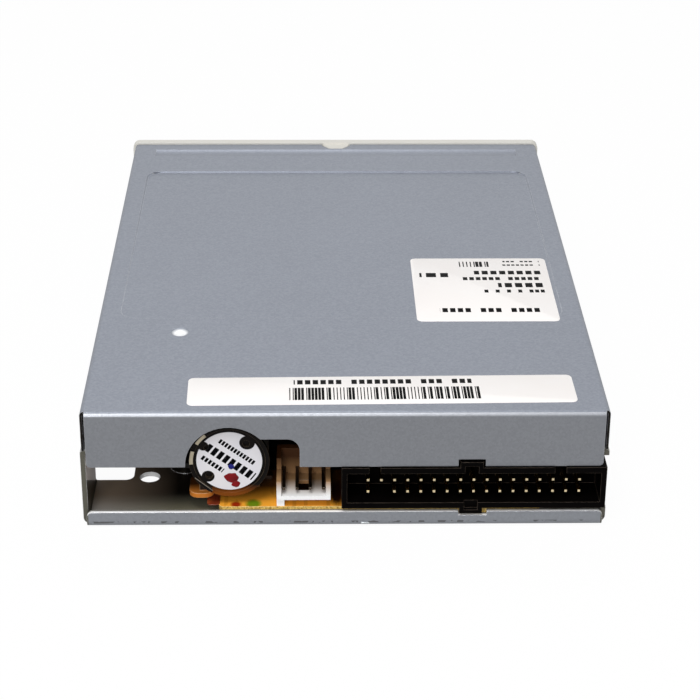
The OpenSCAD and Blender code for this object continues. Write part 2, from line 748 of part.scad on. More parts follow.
module carrier_pins() color("#d0d2d4")
  for (y = pin_y, s = [-1, 1]) {
    a = min(s * carrier_out, s * (low_out - 0.2));
    bar_x(y, cam_pin_z, cam_pin_r, [a, a + low_out - 0.2 - carrier_out]);
  }

// Lever that moves the disk's shutter and holds the slide latched
module shutter_lever() color("#e4e2da")
  translate([lever_pivot.x, lever_pivot.y, 0]) rotate(lever_rest) difference() {
    union() {
      bar_z(0, 0, 4, [lever_floor, lever_top]);
      bar([0, -2, lever_floor], [lever_len, 2, lever_top]);
      bar_z(lever_len, 0, 2, [lever_floor, lever_top]);
      bar_z(lever_len, 0, lever_tip_r, [disk_up + 0.6, lever_top]);
      rotate(latch_turn) {
        bar([0, -latch_nose_r, lever_floor], [latch_r, latch_nose_r, lever_top]);
        bar_z(latch_r, 0, latch_nose_r, [lever_floor, lever_top]);
      }
    }
    bar_z(0, 0, lever_pin_r + turn_gap, [0, 30]);
  }

module lever_pivot_pin() color("#c9ccce") {
  bar_z(lever_pivot.x, lever_pivot.y, lever_pin_r, [carrier_roof, pivot_head_z]);
  bar_z(lever_pivot.x, lever_pivot.y, 2.6, [pivot_head_z, pivot_head_z + 0.5]);
}

lever_wire = 0.22;
lever_coil = coil_path(1.95, 0.95, 1.5);

module lever_spring() color("#c2c4c6")
  translate([lever_pivot.x, lever_pivot.y, lever_top + 0.4]) wire(lever_coil, lever_wire);

// Spindle motor: a board, a stator on the bearing housing, and a cup that turns round it
magnet_out = rotor_r - 1;
magnet_in = magnet_out - 1.7;
pole_tip = magnet_in - 0.4;
core_z = [motor_board_top + 0.7, motor_board_top + 2.3];
core_in = 6;
core_out = 8.4;
housing_top = motor_board_top + 3;
race_r = 4.5;

module motor_board() color("#8a7a3e") difference() {
  union() {
    plate([-45 - edge, 1], [45 + edge, 12], 1.5, [chassis_t, motor_board_top]);
    plate([-28, 2], [28, spindle_y + rotor_r + 2], 4, [chassis_t, motor_board_top]);
  }
  for (s = [-1, 1]) bar_z(s * 26, spindle_y + 20, 1.6, [0, 3]);
}

module bearing_housing() color("#b59b5a") difference() {
  union() {
    bar_z(0, spindle_y, core_out, [motor_board_top, core_z[0]]);
    bar_z(0, spindle_y, core_in, [motor_board_top, housing_top]);
  }
  bar_z(0, spindle_y, race_r, [0, 20]);
}

module spindle_bearing() color("#d5d7d9") difference() {
  bar_z(0, spindle_y, race_r, [motor_board_top, housing_top]);
  bar_z(0, spindle_y, shaft_r + turn_gap, [0, 20]);
}

module stator_core() color("#5c6066") translate([0, spindle_y, 0]) {
  difference() {
    bar_z(0, 0, core_out, core_z);
    bar_z(0, 0, core_in, [0, 20]);
  }
  for (i = [0:poles - 1]) rotate(360 * i / poles) {
    bar([core_out - 0.3, -1, core_z[0]], [pole_tip - 1.5, 1, core_z[1]]);
    intersection() {
      difference() {
        bar_z(0, 0, pole_tip, core_z);
        bar_z(0, 0, pole_tip - 1.6, [0, 20]);
      }
      bar([0, -3.2, 0], [30, 3.2, 20]);
    }
  }
}

module stator_coils() color("#b06a2c") translate([0, spindle_y, 0])
  for (i = [0:poles - 1]) rotate(360 * i / poles) difference() {
    bar([core_out + 0.9, -1.8, core_z[0] - 0.6], [pole_tip - 2.1, 1.8, core_z[1] + 0.6]);
    bar([0, -1, core_z[0]], [30, 1, core_z[1]]);
  }

module rotor_cup() color("#b9bec3") difference() {
  bar_z(0, spindle_y, rotor_r, [rotor_bottom, rotor_top]);
  bar_z(0, spindle_y, magnet_out, [0, rotor_top - rotor_plate_t]);
  bar_z(0, spindle_y, shaft_r, [0, 20]);
  for (i = [0:2]) translate([0, spindle_y, 0]) rotate(120 * i + 30)
    bar_z(rotor_r - 4.5, 0, 2, [0, 20]);
}

module ring_magnet() color("#4a4a4c") difference() {
  bar_z(0, spindle_y, magnet_out, [rotor_bottom + 0.1, rotor_top - rotor_plate_t]);
  bar_z(0, spindle_y, magnet_in, [0, 20]);
}

module spindle_shaft() color("#dfe2e4") translate([0, spindle_y, 0]) {
  bar_z(0, 0, shaft_r, [motor_board_top + 0.1, hub_top + 2]);
  translate([0, 0, hub_top + 2]) cylinder(r1 = shaft_r, r2 = shaft_r - 0.6, h = 0.6);
}

// Hub, with a pocket underneath for the arm of the drive pin
drive_r = 9.8;
drive_turn = 100;
drive_run = 2 * drive_r * sin(drive_turn / 2);
drive_pin_r = 1.2;
drive_slot_r = drive_pin_r + 1.15;
chuck_r = [3.6, 7];

module drive_frame() {
  translate([0, spindle_y, 0]) rotate(drive_turn / 2 + 90)
    translate([drive_r * cos(drive_turn / 2), -drive_run / 2, 0]) children();
}

module spindle_hub() color("#c9ced2") {
  difference() {
    bar_z(0, spindle_y, hub_r, [rotor_top, hub_top]);
    bar_z(0, spindle_y, shaft_r, [0, 20]);
    drive_frame() {
      bar([-2, 0, rotor_top - 1], [2, drive_run, rotor_top + 0.9]);
      bar_z(0, 0, 2.3, [rotor_top - 1, rotor_top + 0.9]);
      bar_z(0, drive_run, 2.9, [rotor_top - 1, rotor_top + 0.9]);
      bar_z(0, drive_run, drive_slot_r, [rotor_top - 1, hub_top + 1]);
    }
    difference() {
      bar_z(0, spindle_y, chuck_r[1], [hub_top - 0.6, hub_top + 1]);
      bar_z(0, spindle_y, chuck_r[0], [0, 20]);
    }
  }
  drive_frame() bar_z(0, 0, 1, [rotor_top, rotor_top + 1]);
}

module chuck_magnet() color("#6b6e72") difference() {
  bar_z(0, spindle_y, chuck_r[1], [hub_top - 0.6, hub_top]);
  bar_z(0, spindle_y, chuck_r[0], [0, 20]);
}

module drive_pin_arm() color("#d8c27a") drive_frame() difference() {
  union() {
    bar([-1.1, 0, rotor_top + 0.15], [1.1, drive_run, rotor_top + 0.7]);
    bar_z(0, 0, 1.7, [rotor_top + 0.15, rotor_top + 0.7]);
    bar_z(0, drive_run, 1.5, [rotor_top + 0.15, rotor_top + 0.7]);
    bar_z(0, drive_run, drive_pin_r, [rotor_top + 0.15, hub_top + 1.6]);
  }
  bar_z(0, 0, 1 + turn_gap, [0, 20]);
}

// Head carriage on its guide rod, with the arm of the upper head hinged to it
flag_x = -23.5;
flag_y = [arm_hinge_y - 3, arm_hinge_y + 1];
needle_post = [motor_at - 8, motor_at - 4.6];

module head_carriage() color("#3d4247") difference() {
  union() {
    bar([rod_x, sleeve_y[0], base_z[0]], [7.2, sleeve_y[1], base_z[1]]);
    bar([-arm_half, head_y - 3.2, nose_z[0]], [arm_half, sleeve_y[0] + 1, nose_z[1]]);
    bar_y(rod_x, rod_z, sleeve_r, sleeve_y);
    for (x = [-7.2, 5.3])
      bar([x, arm_hinge_y - 2.2, base_z[1] - 1], [x + 1.9, arm_hinge_y + 2.2, arm_hinge_z + 2]);
    bar([6, needle_y - 1.6, 5.4], [needle_post[1], needle_y + 1.6, 7.6]);
    bar([needle_post[0], needle_y - 1.6, 5.4], [needle_post[1], needle_y + 1.6, motor_z + 1.6]);
    bar([rod_x - 1, flag_y[0], base_z[1] - 0.6], [rod_x + 2, flag_y[1], base_z[1] + 1.7]);
    bar([flag_x - 0.3, flag_y[0], base_z[1] + 0.9], [rod_x + 2, flag_y[1], base_z[1] + 1.7]);
    bar([flag_x - 0.3, flag_y[0], board_top + 1.6], [flag_x + 0.3, flag_y[1], base_z[1] + 1.7]);
  }
  bar_y(rod_x, rod_z, rod_r + turn_gap, [0, 200]);
  bar_x(arm_hinge_y, arm_hinge_z, hinge_pin_r, [-20, 20]);
  bar_x(needle_y, motor_z, needle_r, [0, 30]);
  bar([-3, sleeve_y[0] + 4, 0], [3, arm_hinge_y - 6, 20]);
}

module lower_head() color("#2b2b2e") {
  bar([-2.4, head_y - 2.4, nose_z[1]], [2.4, head_y + 2.4, nose_z[1] + 0.8]);
  bar([-1.5, head_y - 1.8, nose_z[1] + 0.7], [1.5, head_y + 1.8, media_z - 0.05]);
}

// The arm is drawn level and lifted about its hinge
module lifted() {
  translate([0, arm_hinge_y, arm_hinge_z]) rotate([-arm_tilt, 0, 0])
    translate([0, -arm_hinge_y, -arm_hinge_z]) children();
}

module upper_arm() color("#53585d") {
  lifted() difference() {
    union() {
      bar([-arm_half, head_y - 4, arm_floor], [arm_half, arm_hinge_y, arm_floor + arm_thick]);
      bar_x(arm_hinge_y, arm_hinge_z, 2, [-arm_half, arm_half]);
    }
    bar_x(arm_hinge_y, arm_hinge_z, hinge_pin_r + turn_gap, [-20, 20]);
    bar([-2.6, head_y + 6, 0], [2.6, arm_hinge_y - 6, 30]);
  }
  wing_z = carrier_top + 0.1;
  bar([arm_half - 0.6, arm_hinge_y - wing_reach - 1, wing_z], [wing_x[1], arm_hinge_y - 3.8, wing_z + 0.8]);
}

module upper_head() color("#2b2b2e") lifted() {
  bar([-2.4, head_y - 2.4, arm_floor - 0.9], [2.4, head_y + 2.4, arm_floor]);
  bar([-1.5, head_y - 1.8, media_z + 0.05], [1.5, head_y + 1.8, arm_floor - 0.8]);
}

module arm_hinge_pin() color("#c9ccce")
  bar_x(arm_hinge_y, arm_hinge_z, hinge_pin_r, [-9.4, 7.2]);

arm_wire = 0.2;
arm_coil = coil_path(1.35, 0.85, 2);

module arm_spring() color("#c2c4c6")
  translate([-9.2, arm_hinge_y, arm_hinge_z]) rotate([0, 90, 0]) wire(arm_coil, arm_wire);

module guide_rod() color("#dfe2e4")
  bar_y(rod_x, rod_z, rod_r, rod_y);

module rod_clamps() color("#77797c")
  for (y = [rod_y[0] + 0.2, rod_y[1] - clamp_w - 0.2]) difference() {
    union() {
      bar([rod_x - 2.6, y, chassis_t], [rod_x + 2.6, y + clamp_w, rod_z + 2.2]);
      bar([rod_x - 7.6, y, chassis_t], [rod_x, y + clamp_w, 4.4]);
    }
    bar_y(rod_x, rod_z, rod_r, [0, 200]);
    bar_z(rod_x - 5.2, y + clamp_w / 2, 0.8, [0, 9]);
  }

module clamp_screws() color("#b4b8bb")
  for (y = [rod_y[0] + 0.2, rod_y[1] - clamp_w - 0.2])
    screw([rod_x - 5.2, y + clamp_w / 2], 4.4, 1.5, 0.9, 0.8, chassis_t);

// Stepper: bracket, case, lead screw and the needle that follows the screw
module lead_screw() color("#cdd0d3") {
  bar_y(motor_at, motor_z, screw_r, [bracket_front + bracket_t + 0.3, motor_rear - 2]);
  bar_y(motor_at, motor_z, journal_r, [bracket_front - 0.5, bracket_front + bracket_t + 0.4]);
}

module follower_needle() color("#e3e5e7")
  bar_x(needle_y, motor_z, needle_r, [needle_post[0], motor_at - screw_r - 0.3]);

module stepper_case() color("#a9adb0") difference() {
  bar_y(motor_at, motor_z, motor_r, [motor_front, motor_rear - 1]);
  bar_y(motor_at, motor_z, screw_r + turn_gap, [0, motor_rear - 1.6]);
}

module stepper_end_cap() color("#6d7073") difference() {
  bar_y(motor_at, motor_z, motor_r + 0.2, [motor_rear - 1, motor_rear]);
  bar_y(motor_at, motor_z, motor_r - 0.6, [motor_rear - 0.25, motor_rear + 1]);
  for (a = [49, 146, 219])
    bar_y(motor_at - 5 * cos(a), motor_z + 5 * sin(a), 0.7, [motor_rear - 0.7, motor_rear]);
}

module stepper_bracket() color("#b4b8bb") difference() {
  union() {
    bar([bracket_x[0], bracket_front, bracket_z], [bracket_x[1], motor_front, bracket_z + bracket_t]);
    bar([bracket_x[0], bracket_front, bracket_z], [motor_at + 4, bracket_front + bracket_t, motor_z + 3]);
    bar([motor_at - 7, motor_front - bracket_t, bracket_z], [motor_at + 7, motor_front, motor_z + 6.5]);
  }
  bar_y(motor_at, motor_z, journal_r + turn_gap, [bracket_front - 1, bracket_front + 3]);
  bar_y(motor_at, motor_z, screw_r + 1, [motor_front - 3, motor_front + 1]);
  for (p = bracket_post) bar_z(p.x, p.y, screw_hole_r, [0, 9]);
}

module bracket_screws() color("#c0c3c6")
  for (p = bracket_post) screw(p, bracket_z + bracket_t, 2.2, 1.3, screw_hole_r, 1);

module stepper_terminal() color("#c98a3c") {
  plate([motor_at + 3.2, motor_rear - 9], [motor_at + 8, motor_rear - 1.8], 1.9, [4.5, 5.5]);
  difference() {
    bar([motor_at + 3.4, motor_rear - 8, 5.5], [motor_at + 6, motor_rear - 3, motor_z]);
    bar_y(motor_at, motor_z, motor_r, [0, 200]);
  }
}

// Main board along the rear, with a wing beside the head carriage
module header_tails() {
  for (i = [0:pin_columns - 1], r = [0, 1])
    bar_z(pin_column_x(i), tail_y[r], 0.72 * pin_t + 0.06, [0, 9]);
}

function pin_column_x(i) = header_x + (i - (pin_columns - 1) / 2) * pitch;
function power_pin_x(i) = power_x + (i - (power_pins - 1) / 2) * power_pitch;
power_tail_y = power_rear - power_deep - 1.3;

module main_board() color("#b98a4a") difference() {
  union() {
    plate([board_x[0], board_front], [board_x[1], board_rear], 1, [board_top - board_t, board_top]);
    plate([board_x[0], wing_board_y], [wing_board_x, board_front + 4], 1, [board_top - board_t, board_top]);
  }
  bar([board_x[0] - 1, tail_y[0] + 1.7, 0], [board_x[0] + board_notch, board_rear + 1, 9]);
  header_tails();
  for (i = [0:power_pins - 1]) bar_z(power_pin_x(i), power_tail_y, 0.72 * pin_t + 0.06, [0, 9]);
  for (p = board_post) bar_z(p.x, p.y, screw_hole_r, [0, 9]);
}

module board_screws() color("#c0c3c6")
  for (p = board_post) screw(p, board_top, 2.1, 1.2, screw_hole_r, 1);

// Shrouded header: an open box with key slots above and below
module data_header() color("#1d1e20") {
  x = [header_x - header_len / 2, header_x + header_len / 2];
  z = [header_z - header_high / 2, header_z + header_high / 2];
  y = [header_rear - header_deep, header_rear];
  difference() {
    union() {
      bar([x[0], y[0], z[0]], [x[1], y[1], z[1]]);
      bar([key_x - key_w / 2, y[0] + 2, z[1] - 0.5], [key_x + key_w / 2, y[1], z[1] + key_h]);
      bar([key_x - key_w / 2, board_rear + 0.1, z[0] - key_h], [key_x + key_w / 2, y[1], z[0] + 0.5]);
    }
    bar([x[0] + 1.05, y[0] + header_back, z[0] + header_wall], [x[1] - 1.05, y[1] + 1, z[1] - header_wall]);
    bar([key_x - key_slot_w / 2, y[0] + 3, z[1] - 2], [key_x + key_slot_w / 2, y[1] + 1, z[1] + key_h - 0.9]);
    bar([key_x - key_slot_w / 2, board_rear + 0.6, z[0] - 0.4], [key_x + key_slot_w / 2, y[1] + 1, z[0] + 2]);
    for (i = [1.5, pin_columns - 1.5])
      bar([pin_column_x(i) - 1.1, y[1] - 3, z[1] - 2], [pin_column_x(i) + 1.1, y[1] + 1, z[1] + 1]);
    for (i = [0:pin_columns - 1], r = [0, 1])
      if (i != missing_pin || r == 1)
        bar([pin_column_x(i) - pin_t / 2, 0, row_z[r] - pin_t / 2],
            [pin_column_x(i) + pin_t / 2, y[0] + 3, row_z[r] + pin_t / 2]);
  }
  for (s = [0.35, 0.65])
    bar([x[0] + s * header_len - 1, y[0] + 1, board_top], [x[0] + s * header_len + 1, y[0] + 5, z[0]]);
}

module bent_pin(x, z, tip, tail) {
  bar([x - pin_t / 2, tail - pin_t / 2, z - pin_t / 2], [x + pin_t / 2, tip, z + pin_t / 2]);
  bar([x - pin_t / 2, tail - pin_t / 2, tail_low], [x + pin_t / 2, tail + pin_t / 2, z]);
}

module header_pins() color("#c9ab5c")
  for (i = [0:pin_columns - 1], r = [0, 1])
    if (i != missing_pin || r == 1) bent_pin(pin_column_x(i), row_z[r], pin_tip, tail_y[r]);

// Power connector: a tray open to the rear, with a latch window in its floor
module power_connector() color("#ecebe6") {
  x = [power_x - power_w / 2, power_x + power_w / 2];
  y = [power_rear - power_deep, power_rear];
  z = [power_floor, power_floor + 6.4];
  difference() {
    bar([x[0], y[0], z[0]], [x[1], y[1], z[1]]);
    bar([x[0] + power_wall, y[0] + 1.5, z[0] + power_floor_t], [x[1] - power_wall, y[1] + 1, z[1] + 1]);
    bar([power_x - 1, y[1] - 6.2, z[0] - 1], [power_x + 1, y[1] - 2.4, z[0] + 3]);
    for (i = [0:power_pins - 1])
      bar([power_pin_x(i) - pin_t / 2, 0, power_pin_z - pin_t / 2],
          [power_pin_x(i) + pin_t / 2, y[0] + 3, power_pin_z + pin_t / 2]);
    for (s = [x[0] - 1, x[1] - power_wall - 1])
      bar([s, y[1] - 5, z[1] - 2.4], [s + 3, y[1] + 1, z[1] + 1]);
  }
  bar([x[1] - 1.5, y[1] - 4, board_top], [x[1], y[1] - 0.6, z[0]]);
  for (s = [x[0], x[1] - 2.6]) bar([s, y[0], board_top], [s + 2.6, y[0] + 1.5, z[0]]);
}

module power_contacts() color("#c4c6c4")
  for (i = [0:power_pins - 1]) bent_pin(power_pin_x(i), power_pin_z, power_rear - 0.8, power_tail_y);

// Chips and small parts on the board
module chip(c, size, leads) {
  z = board_top;
  bar([c.x - size.x / 2, c.y - size.y / 2, z + 0.15], [c.x + size.x / 2, c.y + size.y / 2, z + 1.7]);
  for (i = [0:leads - 1], s = [-1, 1]) {
    y = c.y + (i - (leads - 1) / 2) * 0.8;
    x = c.x + s * (size.x / 2 + 0.45);
    bar([x - 0.5, y - 0.17, z], [x + 0.5, y + 0.17, z + 0.5]);
  }
}

module control_chip() color("#26272a")
  chip([board_x[0] + 14.6, wing_board_y + 14], [12, 12], 12);

module drive_chip() color("#26272a")
  chip([board_x[0] + 13.6, board_front - 4], [7.4, 9], 9);

module board_parts() color("#7b4a2a") {
  for (p = [[20.6 - edge, -8.6], [15 - edge, -12], [17.4 - edge, -9], [-26, -50], [-41, -41], [-23, -38]])
    translate([p.x, chassis_len + p.y, board_top + 0.35]) cube([1.6, 1, 0.7], center = true);
  for (x = [-23.5, -27.3]) bar_z(x, board_front - 2.3, 1.5, [board_top, board_top + 3.2]);
}

module track_sensor() color("#202124") difference() {
  bar([flag_x - 2.8, flag_y[0] - 1.2, board_top], [flag_x + 2.8, flag_y[1] + 1.2, base_z[1] + 0.5]);
  bar([flag_x - 1, 0, board_top + 1.2], [flag_x + 1, 200, 20]);
}

// Disk sensing switches behind the bezel
module switch_bodies() color("#2e2f33")
  for (p = switch_at) difference() {
    bar([p.x - 2.3, p.y - 2, motor_board_top], [p.x + 2.3, p.y + 2, switch_top]);
    bar_z(p.x, p.y, plunger_r + turn_gap, [motor_board_top + 0.2, 20]);
  }

module plunger(p) {
  bar_z(p.x, p.y, plunger_r, [plunger_low, plunger_top - 0.3]);
  translate([p.x, p.y, plunger_top - 0.3]) cylinder(r1 = plunger_r, r2 = plunger_r - 0.3, h = 0.3);
}

module protect_plunger() color("#e8e6df") plunger(switch_at[0]);

module disk_plunger() color("#e8e6df") plunger(switch_at[1]);

module density_plunger() color("#e8e6df") plunger(switch_at[2]);

module lamp() color("#9fd08a")
  bar([lamp_x - 1.4, 2.6, motor_board_top], [lamp_x + 1.4, 4.4, lamp_z + 1.2]);

module lamp_lens() color("#7fbf6a")
  bar([lamp_x - lamp_size.x / 2, -bezel_t - 0.1, lamp_z - lamp_size.y / 2],
      [lamp_x + lamp_size.x / 2, 2.6, lamp_z + lamp_size.y / 2]);

echo(eject_spring_gap = self_gap(eject_coil, spring_wire));
echo(door_spring_gap = self_gap(door_coil, door_wire));
echo(lever_spring_gap = self_gap(lever_coil, lever_wire));
echo(arm_spring_gap = self_gap(arm_coil, arm_wire));

// Puts the drive's middle over the origin
module placed() {
  translate([0, y_shift, 0]) children();
}

placed() chassis();
placed() top_cover();
placed() front_bezel();
placed() door_flap();
placed() door_spring();
placed() eject_button();
placed() eject_slide();
placed() eject_springs();
placed() disk_carrier();
placed() carrier_pins();
placed() shutter_lever();
placed() lever_pivot_pin();
placed() lever_spring();
placed() motor_board();
placed() bearing_housing();
placed() spindle_bearing();
placed() stator_core();
placed() stator_coils();
placed() rotor_cup();
placed() ring_magnet();
placed() spindle_shaft();
placed() spindle_hub();
placed() chuck_magnet();
placed() drive_pin_arm();
placed() head_carriage();
placed() lower_head();
placed() upper_arm();
placed() upper_head();
placed() arm_hinge_pin();
placed() arm_spring();
placed() guide_rod();
placed() rod_clamps();
placed() lead_screw();
placed() follower_needle();
placed() stepper_case();
placed() stepper_end_cap();
placed() stepper_bracket();
placed() stepper_terminal();
placed() main_board();
placed() data_header();
placed() header_pins();
placed() power_connector();
placed() power_contacts();  // power_pins
placed() control_chip();
placed() drive_chip();
placed() board_parts();
placed() track_sensor();
placed() switch_bodies();
placed() protect_plunger();
placed() disk_plunger();
placed() density_plunger();
placed() lamp();
placed() lamp_lens();
placed() board_screws();
placed() bracket_screws();
placed() clamp_screws();
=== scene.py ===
import functools
import logging
import math
from dataclasses import dataclass, replace
from enum import Enum
from typing import Any, Iterable

import bmesh
import bpy
from mathutils import Matrix, Vector, noise


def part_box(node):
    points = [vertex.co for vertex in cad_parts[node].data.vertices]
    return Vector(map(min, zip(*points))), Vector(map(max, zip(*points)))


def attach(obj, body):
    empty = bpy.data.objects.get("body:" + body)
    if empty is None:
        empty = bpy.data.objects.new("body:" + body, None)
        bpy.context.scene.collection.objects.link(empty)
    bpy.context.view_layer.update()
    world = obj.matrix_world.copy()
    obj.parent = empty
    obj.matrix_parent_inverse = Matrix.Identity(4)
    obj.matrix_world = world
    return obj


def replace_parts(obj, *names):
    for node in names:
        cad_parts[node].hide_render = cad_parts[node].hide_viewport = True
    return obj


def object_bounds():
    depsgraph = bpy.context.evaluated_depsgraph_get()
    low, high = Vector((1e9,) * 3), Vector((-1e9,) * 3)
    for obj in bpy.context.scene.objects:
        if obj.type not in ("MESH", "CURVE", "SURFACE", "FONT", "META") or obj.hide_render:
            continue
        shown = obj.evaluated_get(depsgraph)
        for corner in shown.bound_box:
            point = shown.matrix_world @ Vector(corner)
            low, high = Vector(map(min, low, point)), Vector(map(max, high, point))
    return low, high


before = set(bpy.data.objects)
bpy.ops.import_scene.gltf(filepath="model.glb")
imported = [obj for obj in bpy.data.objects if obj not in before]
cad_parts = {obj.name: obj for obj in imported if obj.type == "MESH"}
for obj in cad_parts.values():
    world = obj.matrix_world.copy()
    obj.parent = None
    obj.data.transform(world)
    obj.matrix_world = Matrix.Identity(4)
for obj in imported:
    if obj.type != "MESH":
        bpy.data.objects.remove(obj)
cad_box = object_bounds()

Colour = tuple[float, float, float, float]
Pair = tuple[float, float]
Triple = tuple[float, float, float]
Socket = bpy.types.NodeSocket
Shape = bmesh.types.BMesh

LOG = logging.getLogger("floppy_drive")
MM = 0.001

# The parts of the curve between a web colour and linear light.
WEB_KNEE = 0.04045
WEB_SLOPE = 12.92
WEB_OFFSET = 0.055
WEB_POWER = 2.4

# A face looks along an axis where its normal's part along it passes one of these.
STEEP = 0.5
SLIGHT = 0.3
FLAT = 0.6

# Vertices closer than MERGE become one, and those within SAME_LEVEL are at one height, in metres.
MERGE = 1e-7
SAME_LEVEL = 1e-9

# Edges turned further than SHARP are drawn sharp.
SHARP = math.radians(32)
QUARTER = math.radians(90)


def ink(code: str) -> Colour:
    """Turns a web colour into linear light.

    Args:
        code: six hexadecimal digits after a hash, as in "#9498a2".
    Returns:
        Red, green, blue and an alpha of 1.
    """
    linear = []
    for i in (1, 3, 5):
        part = int(code[i:i + 2], 16) / 255
        if part <= WEB_KNEE:
            linear.append(part / WEB_SLOPE)
        else:
            linear.append(((part + WEB_OFFSET) / (1 + WEB_OFFSET)) ** WEB_POWER)
    return (linear[0], linear[1], linear[2], 1.0)


WHITE = ink("#ffffff")


def behind(y: float) -> float:
    """Gives the frame's y, in metres, of a place so many millimetres behind the back of the bezel."""
    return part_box("chassis")[0].y + y * MM


def spot(x: float, y: float, z: float) -> Vector:
    """Gives a place in the frame.

    Args:
        x: millimetres to the right, seen from the front.
        y: millimetres behind the back of the bezel.
        z: millimetres above the base.
    Returns:
        The place in metres.
    """
    return Vector((x * MM, behind(y), z * MM))


class Graph:
    """Places and links the nodes of one shader tree."""

    def __init__(self, tree: bpy.types.NodeTree) -> None:
        """Keeps the tree."""
        self.tree = tree

    @classmethod
    def of(cls, owner: bpy.types.Material | bpy.types.World) -> "Graph":
        """Starts the empty tree of a material or of the world.

        Args:
            owner: the material or the world.
        Returns:
            The graph of its tree.
        """
        owner.use_nodes = True
        owner.node_tree.nodes.clear()
        return cls(owner.node_tree)

    def put(self, socket: Socket, value: Any) -> None:
        """Links a socket to another one, or sets its value.

        Args:
            socket: the input.
            value: an output to link, or a plain value.
        """
        if isinstance(value, Socket):
            self.tree.links.new(value, socket)
        else:
            socket.default_value = value

    def add(self, kind: str, inputs: dict | None = None, **settings: Any) -> bpy.types.Node:
        """Adds a node.

        Args:
            kind: the node's type, without its ShaderNode prefix.
            inputs: values or sockets for its inputs, by name or number.
            settings: attributes of the node.
        Returns:
            The new node.
        """
        node = self.tree.nodes.new("ShaderNode" + kind)
        for key, value in settings.items():
            setattr(node, key, value)
        for key, value in (inputs or {}).items():
            self.put(node.inputs[key], value)
        return node

    def use(self, group: bpy.types.NodeTree, **inputs: Any) -> bpy.types.Node:
        """Places a shared group.

        Args:
            group: the group's tree.
            inputs: this place's own values, by name.
        Returns:
            The new node.
        """
        node = self.add("Group", node_tree=group)
        for key, value in inputs.items():
            self.put(node.inputs[key], value)
        return node

    def math(self, operation: str, *values: Any, clamp: bool = False) -> Socket:
        """Adds a Math node and returns its result."""
        node = self.add("Math", dict(enumerate(values)), operation=operation, use_clamp=clamp)
        return node.outputs[0]

    def product(self, *values: Any) -> Socket:
        """Multiplies several values."""
        return functools.reduce(lambda a, b: self.math("MULTIPLY", a, b), values)

    def minus(self, value: Any, taken: Any) -> Socket:
        """Takes one value from another."""
        return self.math("SUBTRACT", value, taken)

    def above(self, value: Any, limit: Any) -> Socket:
        """Gives 1 where a value is above a limit, else 0."""
        return self.math("GREATER_THAN", value, limit)

    def below(self, value: Any, limit: Any) -> Socket:
        """Gives 1 where a value is below a limit, else 0."""
        return self.math("LESS_THAN", value, limit)

    def between(self, value: Any, low: float, high: float) -> Socket:
        """Gives 1 where a value lies between two limits, else 0."""
        return self.product(self.above(value, low), self.below(value, high))

    def mix(self, factor: Any, first: Any, second: Any) -> Socket:
        """Mixes two colours.

        Args:
            factor: the share of the second colour.
            first: a socket or a web colour.
            second: a socket or a web colour.
        Returns:
            The mixed colour.
        """
        tones = [ink(tone) if isinstance(tone, str) else tone for tone in (first, second)]
        node = self.add("Mix", {0: factor, 6: tones[0], 7: tones[1]}, data_type="RGBA")
        return node.outputs[2]

    def ramp(self, value: Any, ends: Iterable[float], low: float = 0.0, high: float = 1.0) -> Socket:
        """Spreads the values between two ends over a range, and holds it past them.

        Args:
            value: the value.
            ends: where the range starts and where it stops.
            low: the result at the start.
            high: the result at the stop.
        Returns:
            The result.
        """
        start, stop = ends
        node = self.add("MapRange", {"Value": value, "From Min": start, "From Max": stop,
                                     "To Min": low, "To Max": high})
        return node.outputs[0]

    def lerp(self, factor: Any, low: float, high: float) -> Socket:
        """Spreads a mask from 0 to 1 over the values from low to high."""
        return self.ramp(factor, (0.0, 1.0), low, high)

    def place(self) -> Socket:
        """Gives the Object coordinates."""
        return self.add("TexCoord").outputs["Object"]

    def axes(self, vector: Any) -> list[Socket]:
        """Splits a vector into x, y and z."""
        return list(self.add("SeparateXYZ", {0: vector}).outputs)

    def where(self) -> list[Socket]:
        """Gives the x, y and z of the Object coordinates."""
        return self.axes(self.place())

    def facing(self) -> list[Socket]:
        """Gives the x, y and z of the surface's normal."""
        return self.axes(self.add("NewGeometry").outputs["Normal"])

    def cloud(self, scale: Any, detail: float, vector: Any = None, rough: float = 0.5) -> Socket:
        """Gives a noise texture.

        Args:
            scale: how many patches a metre has.
            detail: how many finer layers are added.
            vector: the coordinates, which are the Object coordinates if they aren't given.
            rough: how strong the finer layers are.
        Returns:
            The noise, from 0 to 1.
        """
        place = self.place() if vector is None else vector
        given = {"Vector": place, "Scale": scale, "Detail": detail, "Roughness": rough}
        return self.add("TexNoise", given).outputs[0]


def new_group(name: str, inputs: dict[str, float], outputs: dict[str, str]) -> tuple[Graph, Any, Any]:
    """Starts a shader node group.

    Args:
        name: the group's name.
        inputs: the default value of each input.
        outputs: the socket type of each output, Float or Vector.
    Returns:
        The group's graph, its input node and its output node.
    """
    tree = bpy.data.node_groups.new(name, "ShaderNodeTree")
    for key, value in inputs.items():
        socket = tree.interface.new_socket(name=key, in_out="INPUT", socket_type="NodeSocketFloat")
        socket.default_value = value
    for key, kind in outputs.items():
        tree.interface.new_socket(name=key, in_out="OUTPUT", socket_type="NodeSocket" + kind)
    return Graph(tree), tree.nodes.new("NodeGroupInput"), tree.nodes.new("NodeGroupOutput")


@functools.cache
def grain_group() -> bpy.types.NodeTree:
    """Makes the group of fine grain, drawn out along y where the brushing is above 1.

    Returns:
        The group's tree, which puts out a height.
    """
    graph, given, result = new_group("fine_grain", {"Fineness": 2000, "Brushing": 1}, {"Height": "Float"})
    stretch = graph.add("CombineXYZ", {0: given.outputs["Brushing"], 1: 1.0, 2: 1.0})
    drawn = graph.add("VectorMath", {0: graph.place(), 1: stretch.outputs[0]}, operation="MULTIPLY")
    cells = graph.cloud(given.outputs["Fineness"], 3.0, drawn.outputs[0], rough=0.6)
    graph.put(result.inputs["Height"], cells)
    return graph.tree


